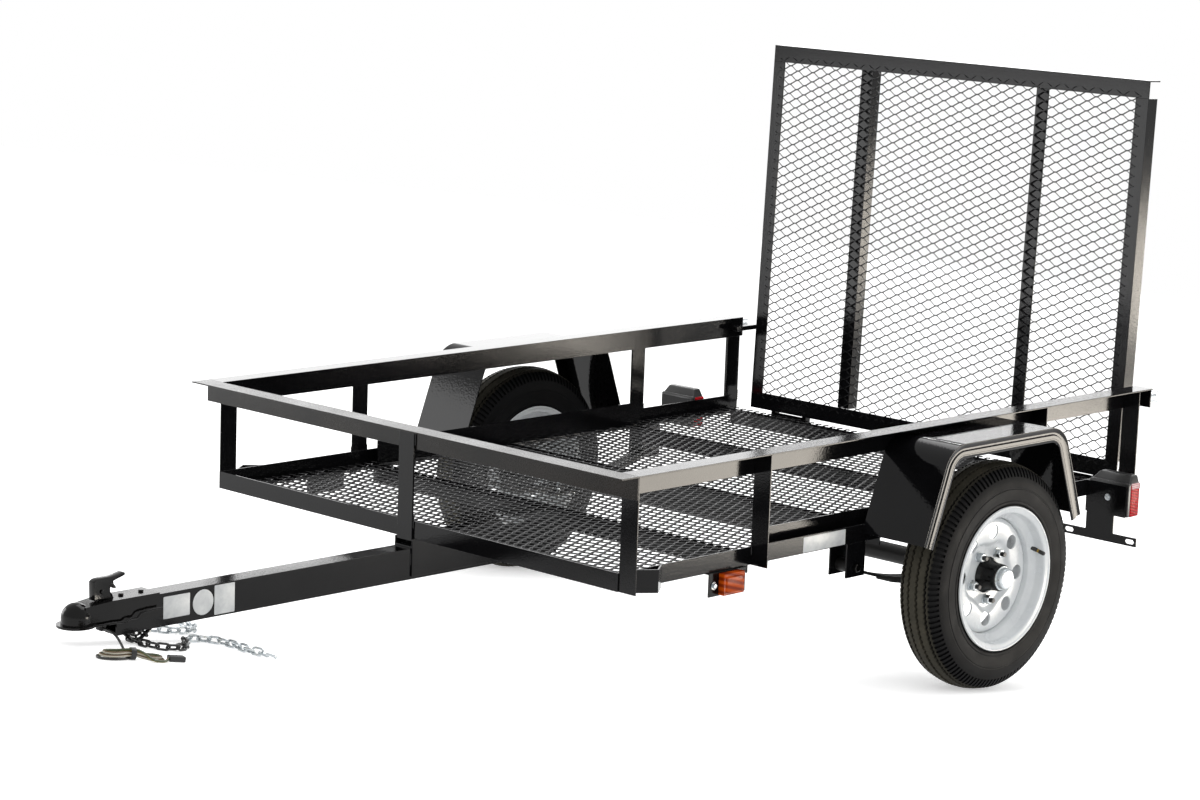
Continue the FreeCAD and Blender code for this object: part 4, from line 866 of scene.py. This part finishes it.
# ---- Lamps: rounded ABS housings with acrylic lenses.
def rounded_block(name, low, high, radius, segments=3):
    """A block between two corners in millimetres, with a bevel to be applied to its edges."""
    low, high = Vector(low) / 1000, Vector(high) / 1000
    piece = begin(name, "cube", size=1, location=(low + high) / 2)
    bpy.ops.transform.resize(value=high - low)
    clear()
    soft = piece.modifiers.new("soft", "BEVEL")
    soft.width, soft.segments = radius / 1000, segments
    return piece


def tail_lamp(side):
    """One tail lamp: its housing with a hood, its lens, and a pale block at the lens's corner that is a painted
    highlight.
    """
    name = SIDES[side]
    inner, outer = sorted((side * 656.5, side * 772.5))
    housing = rounded_block(f"tail_lamp_housing_{name}", (inner, 1640, 326.5), (outer, 1651, 409), 3.5)
    apply_modifiers(housing)
    # The hood stands over the lens: its lid is drawn in from the front and from both ends.
    hood = rounded_block(f"tail_lamp_hood_{name}", (inner, 1640.5, 402), (outer, 1685.5, 426), 3.5)
    bpy.ops.object.mode_set(mode="EDIT")
    choose(hood, "faces", lambda p, n: n.z > 0.9)
    bpy.ops.transform.resize(value=(0.80, 0.52, 1))
    shift((side * 0.004, 0.010, 0))
    step_in(0.006, (0, 0, 0.0008))
    clear()
    apply_modifiers(hood)
    housing = join([housing, hood], f"tail_lamp_housing_{name}")
    finish_piece(housing, "lamp_housing", "trailer")
    lens = rounded_block(f"tail_lens_{name}", (inner + 0.5, 1650, 326), (outer + 0.5, 1686, 407), 4.5)
    bpy.ops.object.mode_set(mode="EDIT")
    choose(lens, "faces", lambda p, n: n.y > 0.9)
    step_in(0.009, (0, 0.0025, 0))
    step_in(0.014, (0, -0.0012, 0))
    clear()
    apply_modifiers(lens)
    finish_piece(lens, "red_lens", "trailer")
    # A pale block at the lens's upper outer corner is a painted highlight.
    near, far = sorted((side * 757, side * 773.4))
    highlight_block = rounded_block(f"tail_lens_strip_{name}", (near, 1652, 394), (far, 1687, 408.4), 2, 2)
    apply_modifiers(highlight_block)
    finish_piece(highlight_block, "pale_lens", "trailer")
    return housing, lens


def marker_lamp(side):
    """The amber lens of one marker lamp, with a groove round a raised middle."""
    name = SIDES[side]
    inner, outer = sorted((side * 657.2, side * 674.5))
    lens = rounded_block(f"marker_lens_{name}", (inner, 305.5, 312.5), (outer, 371.5, 360), 2.4)
    bpy.ops.object.mode_set(mode="EDIT")
    choose(lens, "faces", lambda p, n: n.x * side > 0.9)
    step_in(0.0055, (-side * 0.0016, 0, 0))
    step_in(0.0030, (side * 0.0024, 0, 0))
    step_in(0.0100, (side * 0.0010, 0, 0))
    clear()
    apply_modifiers(lens)
    finish_piece(lens, "amber_lens", "trailer")
    return lens


# Each CAD node holds the lamps of both sides, so the left pieces stand for both.
left_housing, left_lens = tail_lamp(1)
tail_lamp(-1)
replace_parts(left_housing, "tail_lamps")
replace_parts(left_lens, "tail_lenses")
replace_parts(marker_lamp(1), "marker_lenses")
marker_lamp(-1)


# ---- Labels: blank vinyl on the tongue's left side and on the left side angle.
def label(name, low, high):
    """A thin upright label between two corners in millimetres, its own corners rounded by 2 mm."""
    piece = rounded_block(name, low, high, 0.2, 2)
    bpy.ops.object.mode_set(mode="EDIT")
    choose(piece, "edges", lambda p, n: abs(n.x) > 0.9)
    bpy.ops.mesh.bevel(offset=0.002, segments=3)
    clear()
    apply_modifiers(piece)
    finish_piece(piece, "vinyl_label", "trailer")


label("tongue_label_front", (25.3, -693, 286), (25.9, -624, 333))
label("tongue_label_rear", (25.3, -559, 275), (25.9, -505, 338))
label("side_label", (650.9, 587, 364), (651.5, 730, 399))
badge = turned("tongue_label_round", [(25.3, 0.1), (25.3, 27), (25.7, 27.2), (26.0, 26.6), (26.0, 24.4),
                                      (25.8, 24.2), (25.8, 0.1)], 48)
badge.data.transform(Matrix.Translation((0, -0.589, 0.307)))
finish_piece(badge, "vinyl_label", "trailer")


# ---- Latch: a cast thumb latch, drawn from its side and given its width.
def coupler_latch():
    """The thumb latch, and the pin that it turns on."""
    edge = [(-865, 346), (-866, 388), (-858, 393), (-840, 395), (-812, 395), (-790, 397), (-770, 401),
            (-766, 398.5), (-768, 394), (-788, 389), (-804, 385), (-803, 378), (-796, 371), (-796, 366),
            (-801, 367), (-808, 373), (-814, 371), (-814, 361), (-808, 355), (-803, 346)]
    # The outline is larger than the latch: it is drawn in along the trailer and in height.
    half, heel, foot, long, tall = 9, -856, 346, 0.78, 0.9
    stops = [Vector((-half, heel + long * (y - edge[0][0]), foot + tall * (z - edge[0][1]))) / 1000
             for y, z in edge]
    latch = draw_face("coupler_thumb_latch", stops)
    pull((2 * half / 1000, 0, 0))
    choose(latch, "faces", lambda p, n: n.x > 0.9 or n.x < -0.9)
    bpy.ops.mesh.inset(thickness=0.003, use_individual=True)
    bpy.ops.transform.resize(value=(0.88, 1, 1), center_override=(0, 0, 0))
    clear()
    outwards(latch)
    soft = latch.modifiers.new("soft", "BEVEL")
    soft.width, soft.segments, soft.limit_method, soft.angle_limit = 0.0008, 2, "ANGLE", math.radians(30)
    apply_modifiers(latch)
    pin = turned("latch_pin", [(-11.5, 0.1), (-11.5, 3.6), (-10.6, 4.4), (10.6, 4.4), (11.5, 3.6),
                               (11.5, 0.1)], 18)
    pin.data.transform(Matrix.Translation((0, -0.836, 0.362)))
    finish_piece(pin, "coupler_paint", "trailer")
    return finish_piece(latch, "coupler_paint", "trailer")


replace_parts(coupler_latch(), "coupler_latch")


# ---- Bolts of the coupler, the spring hangers and the lamps, their heads turned by odd angles.
big = hexagon("big_bolt", 19, 8)
small = hexagon("small_bolt", 10, 5)
washer = turned("washer", [(-0.2, 0.1), (-0.2, 8.2), (1.4, 8.2), (1.4, 0.1)], 20)
heads = []
for y in (-783, -732):
    heads.append(set_at(small, "head", (0, y, 344.5), (0, 0, 1), 0.3))
for side in (1, -1):
    for y in (777, 1417):
        heads.append(set_at(big, "head", (side * 646, y, 304), (side, 0, 0), y))
        heads.append(set_at(big, "head", (side * 594, y, 304), (-side, 0, 0), y))
finish_piece(join(heads, "black_bolt_heads"), "coupler_paint", "trailer")
heads = []
for side in (1, -1):
    heads.append(set_at(small, "head", (side * 657.5, 291, 334), (side, 0, 0), 0.2))
    heads.append(set_at(washer, "head", (side * 657.0, 291, 334), (side, 0, 0)))
    heads.append(set_at(small, "head", (side * 715, 1636.5, 369), (0, -1, 0), 0.4))
    heads.append(set_at(washer, "head", (side * 715, 1637, 369), (0, -1, 0)))
finish_piece(join(heads, "zinc_bolt_heads"), "zinc_plate", "trailer")


# ---- U-bolts: each clamps the axle to its spring, down through the plate to two nuts.
# Each leg's distance from the axle line, and the underside of the spring plate.
LEG_MM, PLATE_UNDER_MM = 27.2, 222.8


def u_bolt(x):
    """One round bar: up from its lower end, over the axle and down again."""
    axle_y, axle_z, foot = AXLE_MM.y / 1000, AXLE_MM.z / 1000, 0.2135
    bar = begin("u_bolt", "circle", vertices=12, radius=0.0048, fill_type="NGON",
                location=(x, axle_y + LEG_MM / 1000, foot))
    pull((0, 0, axle_z - foot))
    bpy.ops.mesh.spin(steps=14, angle=-math.pi, center=(x, axle_y, axle_z), axis=(1, 0, 0))
    pull((0, 0, foot - axle_z))
    clear()
    outwards(bar)
    return bar


clamps = []
for side in (1, -1):
    for x in (592, 648):
        clamps.append(u_bolt(side * x / 1000))
        for y in (AXLE_MM.y - LEG_MM, AXLE_MM.y + LEG_MM):
            clamps.append(set_at(small, "clamp_nut", (side * x, y, PLATE_UNDER_MM), (0, 0, -1)))
finish_piece(join(clamps, "axle_u_bolts"), "zinc_plate", "trailer")
for pattern in (big, small, washer):
    drop(pattern)


# ---- Rail ends: a black end plate, and a zinc latch of two flat tabs and a pin behind it.
def rail_latch(side):
    """The end plate of one top rail, and the two tabs and the pin behind it."""
    name = SIDES[side]
    near, far = sorted((side * 655, side * 694))
    plate = rounded_block(f"rail_end_plate_{name}", (near, 1819.5, 566), (far, 1823.5, 611), 1.2, 2)
    apply_modifiers(plate)
    finish_piece(plate, "frame_paint", "trailer")
    near, far = sorted((side * 664, side * 688))
    tabs = [rounded_block("tab", (near, 1822, low), (far, 1860, low + 4), 1.2, 2) for low in (600, 575)]
    for tab in tabs:
        apply_modifiers(tab)
    rod = turned("rod", [(0, 0.1), (0, 3.8), (44, 3.8), (46, 2.6), (46, 0.1)], 14)
    pin = set_at(rod, "latch_pin", (side * 676, 1822, 589.5), (0, 1, 0))
    drop(rod)
    finish_piece(join(tabs + [pin], f"rail_latch_{name}"), "zinc_plate", "trailer")


rail_latch(1)
rail_latch(-1)


# ---- Steel edges: rolled bar and bent sheet have eased edges, so each is a copy with rounded edges.
BODY_OF = {node: body for body, nodes in frame["record"]["behaviour"]["bodies"].items() for node in nodes}


def eased(node, radius):
    """The node's own solid, its triangles joined to flat faces and its edges rounded by some mm."""
    solid = frame["nodes"][node]
    clear()
    piece = bpy.data.objects.new(f"{node}_eased", solid.data.copy())
    bpy.context.collection.objects.link(piece)
    piece.select_set(True)
    bpy.context.view_layer.objects.active = piece
    bpy.ops.object.mode_set(mode="EDIT")
    bpy.ops.mesh.select_all(action="SELECT")
    bpy.ops.mesh.remove_doubles(threshold=MERGE)
    bpy.ops.mesh.dissolve_limited(angle_limit=math.radians(0.6))
    bpy.ops.mesh.faces_shade_smooth()
    bpy.ops.object.mode_set(mode="OBJECT")
    bpy.ops.mesh.customdata_custom_splitnormals_clear()
    toe = piece.modifiers.new("toe", "BEVEL")
    toe.width, toe.segments, toe.limit_method, toe.angle_limit = radius / 1000, 2, "ANGLE", math.radians(40)
    toe.miter_outer = "MITER_ARC"
    piece.modifiers.new("flat", "WEIGHTED_NORMAL").weight = 90
    apply_modifiers(piece)
    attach(piece, BODY_OF[node])
    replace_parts(piece, node)
    return piece


for node in ("frame_front_angle", "frame_side_angle_left", "frame_side_angle_right", "frame_rear_angle",
             "top_rail_front", "top_rail_left", "top_rail_right", "front_posts", "side_posts_left",
             "side_posts_right", "tongue_bracket", "spring_hangers", "spring_plates", "chain_bracket",
             "lamp_brackets", "marker_brackets", "hinge_sleeves", "gate_latches", "gate_top_rail",
             "gate_bottom_rail", "gate_post_left", "gate_post_right", "gate_braces", "tongue_tube",
             "axle_beam", "fender_left", "fender_right"):
    eased(node, 0.5)
eased("coupler_body", 1.4)
plug = eased("harness_plug", 1.4)


# ---- Pressed flange along the coupler's lower edge, and the clamp that holds the lead.
def coupler_flange(side):
    """A rolled bead that runs back from the socket lip, dips at the ball clamp and rises to the tongue."""
    name = SIDES[side]
    bead = begin(f"coupler_flange_{name}", "circle", vertices=10, radius=0.0024, fill_type="NGON",
                 location=(side * 0.0225, -0.899, 0.3005), rotation=(math.pi / 2, 0, 0))
    stops = [(22.5, -899, 300.5), (33, -872, 300.8), (39.6, -820, 301.5), (40.6, -800, 300),
             (40.6, -788, 305), (40.6, -772, 304), (40.6, -762, 313), (40.6, -735, 316), (40.6, -708, 316)]
    for here, onward in zip(stops, stops[1:]):
        pull([way * (onward[i] - here[i]) / 1000 for i, way in enumerate((side, 1, 1))])
    clear()
    outwards(bead)
    finish_piece(bead, "coupler_paint", "trailer", smooth=60)


coupler_flange(1)
coupler_flange(-1)
clamp = rounded_block("lead_clamp", (-9, -841, 280), (13, -825, 298), 4)
apply_modifiers(clamp)
finish_piece(clamp, "frame_paint", "trailer")
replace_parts(clamp, "harness_clip")


# ---- Weld beads: one lumpy run, copied to the posts, the front angle and the tongue.
RINGS, FIRST_RING, RING_STEP = 11, -0.0137, 0.0027


def weld_bead():
    """A fillet run 30 mm long on the Z axis, its ripples made by narrowing every second ring."""
    bead = begin("weld_bead", "cylinder", vertices=8, radius=0.0027, depth=0.030)
    for step in range(RINGS):
        bpy.ops.mesh.select_all(action="SELECT")
        bpy.ops.mesh.bisect(plane_co=(0, 0, FIRST_RING + RING_STEP * step), plane_no=(0, 0, 1))
    for step in range(0, RINGS, 2):
        level = FIRST_RING + RING_STEP * step
        choose(bead, "verts", lambda p, n: abs(p.z - level) < 0.0004)
        bpy.ops.transform.resize(value=(0.72, 0.72, 1))
    choose(bead, "verts", lambda p, n: abs(p.z) > 0.0149)
    bpy.ops.transform.resize(value=(0.5, 0.5, 1))
    clear()
    return bead


bead = weld_bead()
runs = []
for side in (1, -1):
    for y in (413, 461, 1393, 1441, 1767, 1814.6):
        runs.append(copy_at(bead, "run", Matrix.Translation(Vector((side * 652.6, y, 399)) / 1000)))
for x in (-25, 25):
    for y, z in ((-1, 400), (-1, 586), (-7, 318)):
        runs.append(copy_at(bead, "run", Matrix.Translation(Vector((x, y, z)) / 1000)))
finish_piece(join(runs, "frame_weld_runs"), "frame_paint", "trailer", smooth=60)
drop(bead)


# ---- Floor, light and background.
def looked_at(tree):
    """One for camera, mirror and glass rays, nought for the rays by which one thing lights another."""
    path = add(tree, "LightPath")
    seen = add(tree, "Math", {0: path.outputs["Is Camera Ray"], 1: path.outputs["Is Glossy Ray"]},
               operation="MAXIMUM")
    return add(tree, "Math", {0: seen.outputs[0], 1: path.outputs["Is Transmission Ray"]},
               operation="MAXIMUM").outputs[0]


def studio():
    """A white floor and world, and six soft lamps round the trailer."""
    ground = begin("studio_floor", size=60)
    clear()
    made, tree, shader, where = start_finish("pale studio floor")
    seen = looked_at(tree)
    speck = add(tree, "TexNoise", {"Vector": where, "Scale": 3.0, "Detail": 2.0})
    tone = add(tree, "ValToRGB", {"Fac": speck.outputs["Fac"]},
               [(0.3, linear("#fbfbfb")), (0.7, linear("#ffffff"))])
    both = add(tree, "Mix", {"Factor": seen, "A": linear("#dcdcdc"), "B": tone.outputs["Color"]},
               data_type="RGBA")
    tree.links.new(both.outputs["Result"], shader.inputs["Base Color"])
    # The sweep glows a little to the eye, so that it stays as white far off as by the lamps.
    lift = add(tree, "Math", {0: seen, 1: 0.44}, operation="MULTIPLY")
    shader.inputs["Emission Color"].default_value = (1, 1, 1, 1)
    tree.links.new(lift.outputs[0], shader.inputs["Emission Strength"])
    shader.inputs["Roughness"].default_value = 0.9
    shader.inputs["Specular IOR Level"].default_value = 0.1
    ground.data.materials.append(made)

    world = bpy.data.worlds.new("studio")
    bpy.context.scene.world = world
    world.use_nodes = True
    tree = world.node_tree
    level = add(tree, "Mix", {"Factor": looked_at(tree), "A": 0.85, "B": 1.0}, data_type="FLOAT")
    sky = tree.nodes["Background"]
    sky.inputs["Color"].default_value = (1, 1, 1, 1)
    tree.links.new(level.outputs["Result"], sky.inputs["Strength"])

    for name, stand, aim, wide, high, power, warm in (
            ("overhead_softbox", (-0.4, 1.6, 4.6), (-0.2, 0.8, 0), 4.0, 4.0, 150, False),
            ("back_softbox", (-5.4, 5.9, 2.3), (0, 0.3, 0.5), 7.0, 2.2, 80, False),
            ("side_softbox", (2.4, 2.55, 0.27), (-0.3, 2.75, 0.27), 3.3, 0.5, 84, True),
            ("gate_softbox", (3.95, 6.5, 0.84), (-0.3, 6.85, 0.84), 1.3, 0.56, 44, True),
            ("front_softbox", (-2.15, -1.65, 0.55), (0.1, 1.2, 1.1), 1.6, 1.0, 19, False),
            ("strip_light", (-2.2, 3.6, 3.3), (0, 0.6, 0.4), 3.2, 0.14, 25, False)):
        lamp = bpy.data.lights.new(name, "AREA")
        lamp.color = linear("#fff6e8")[:3] if warm else (1, 1, 1)
        lamp.shape, lamp.size, lamp.size_y, lamp.energy = "RECTANGLE", wide, high, power
        holder = bpy.data.objects.new(name, lamp)
        bpy.context.scene.collection.objects.link(holder)
        holder.location = stand
        holder.visible_camera = False
        # The two warm cards are seen in the gloss of the paint only, so that the white wheels keep
        # their relief.
        holder.visible_diffuse = not warm
        holder.rotation_euler = (Vector(aim) - Vector(stand)).to_track_quat("-Z", "Y").to_euler()


studio()
bpy.context.scene.view_settings.view_transform = "Standard"
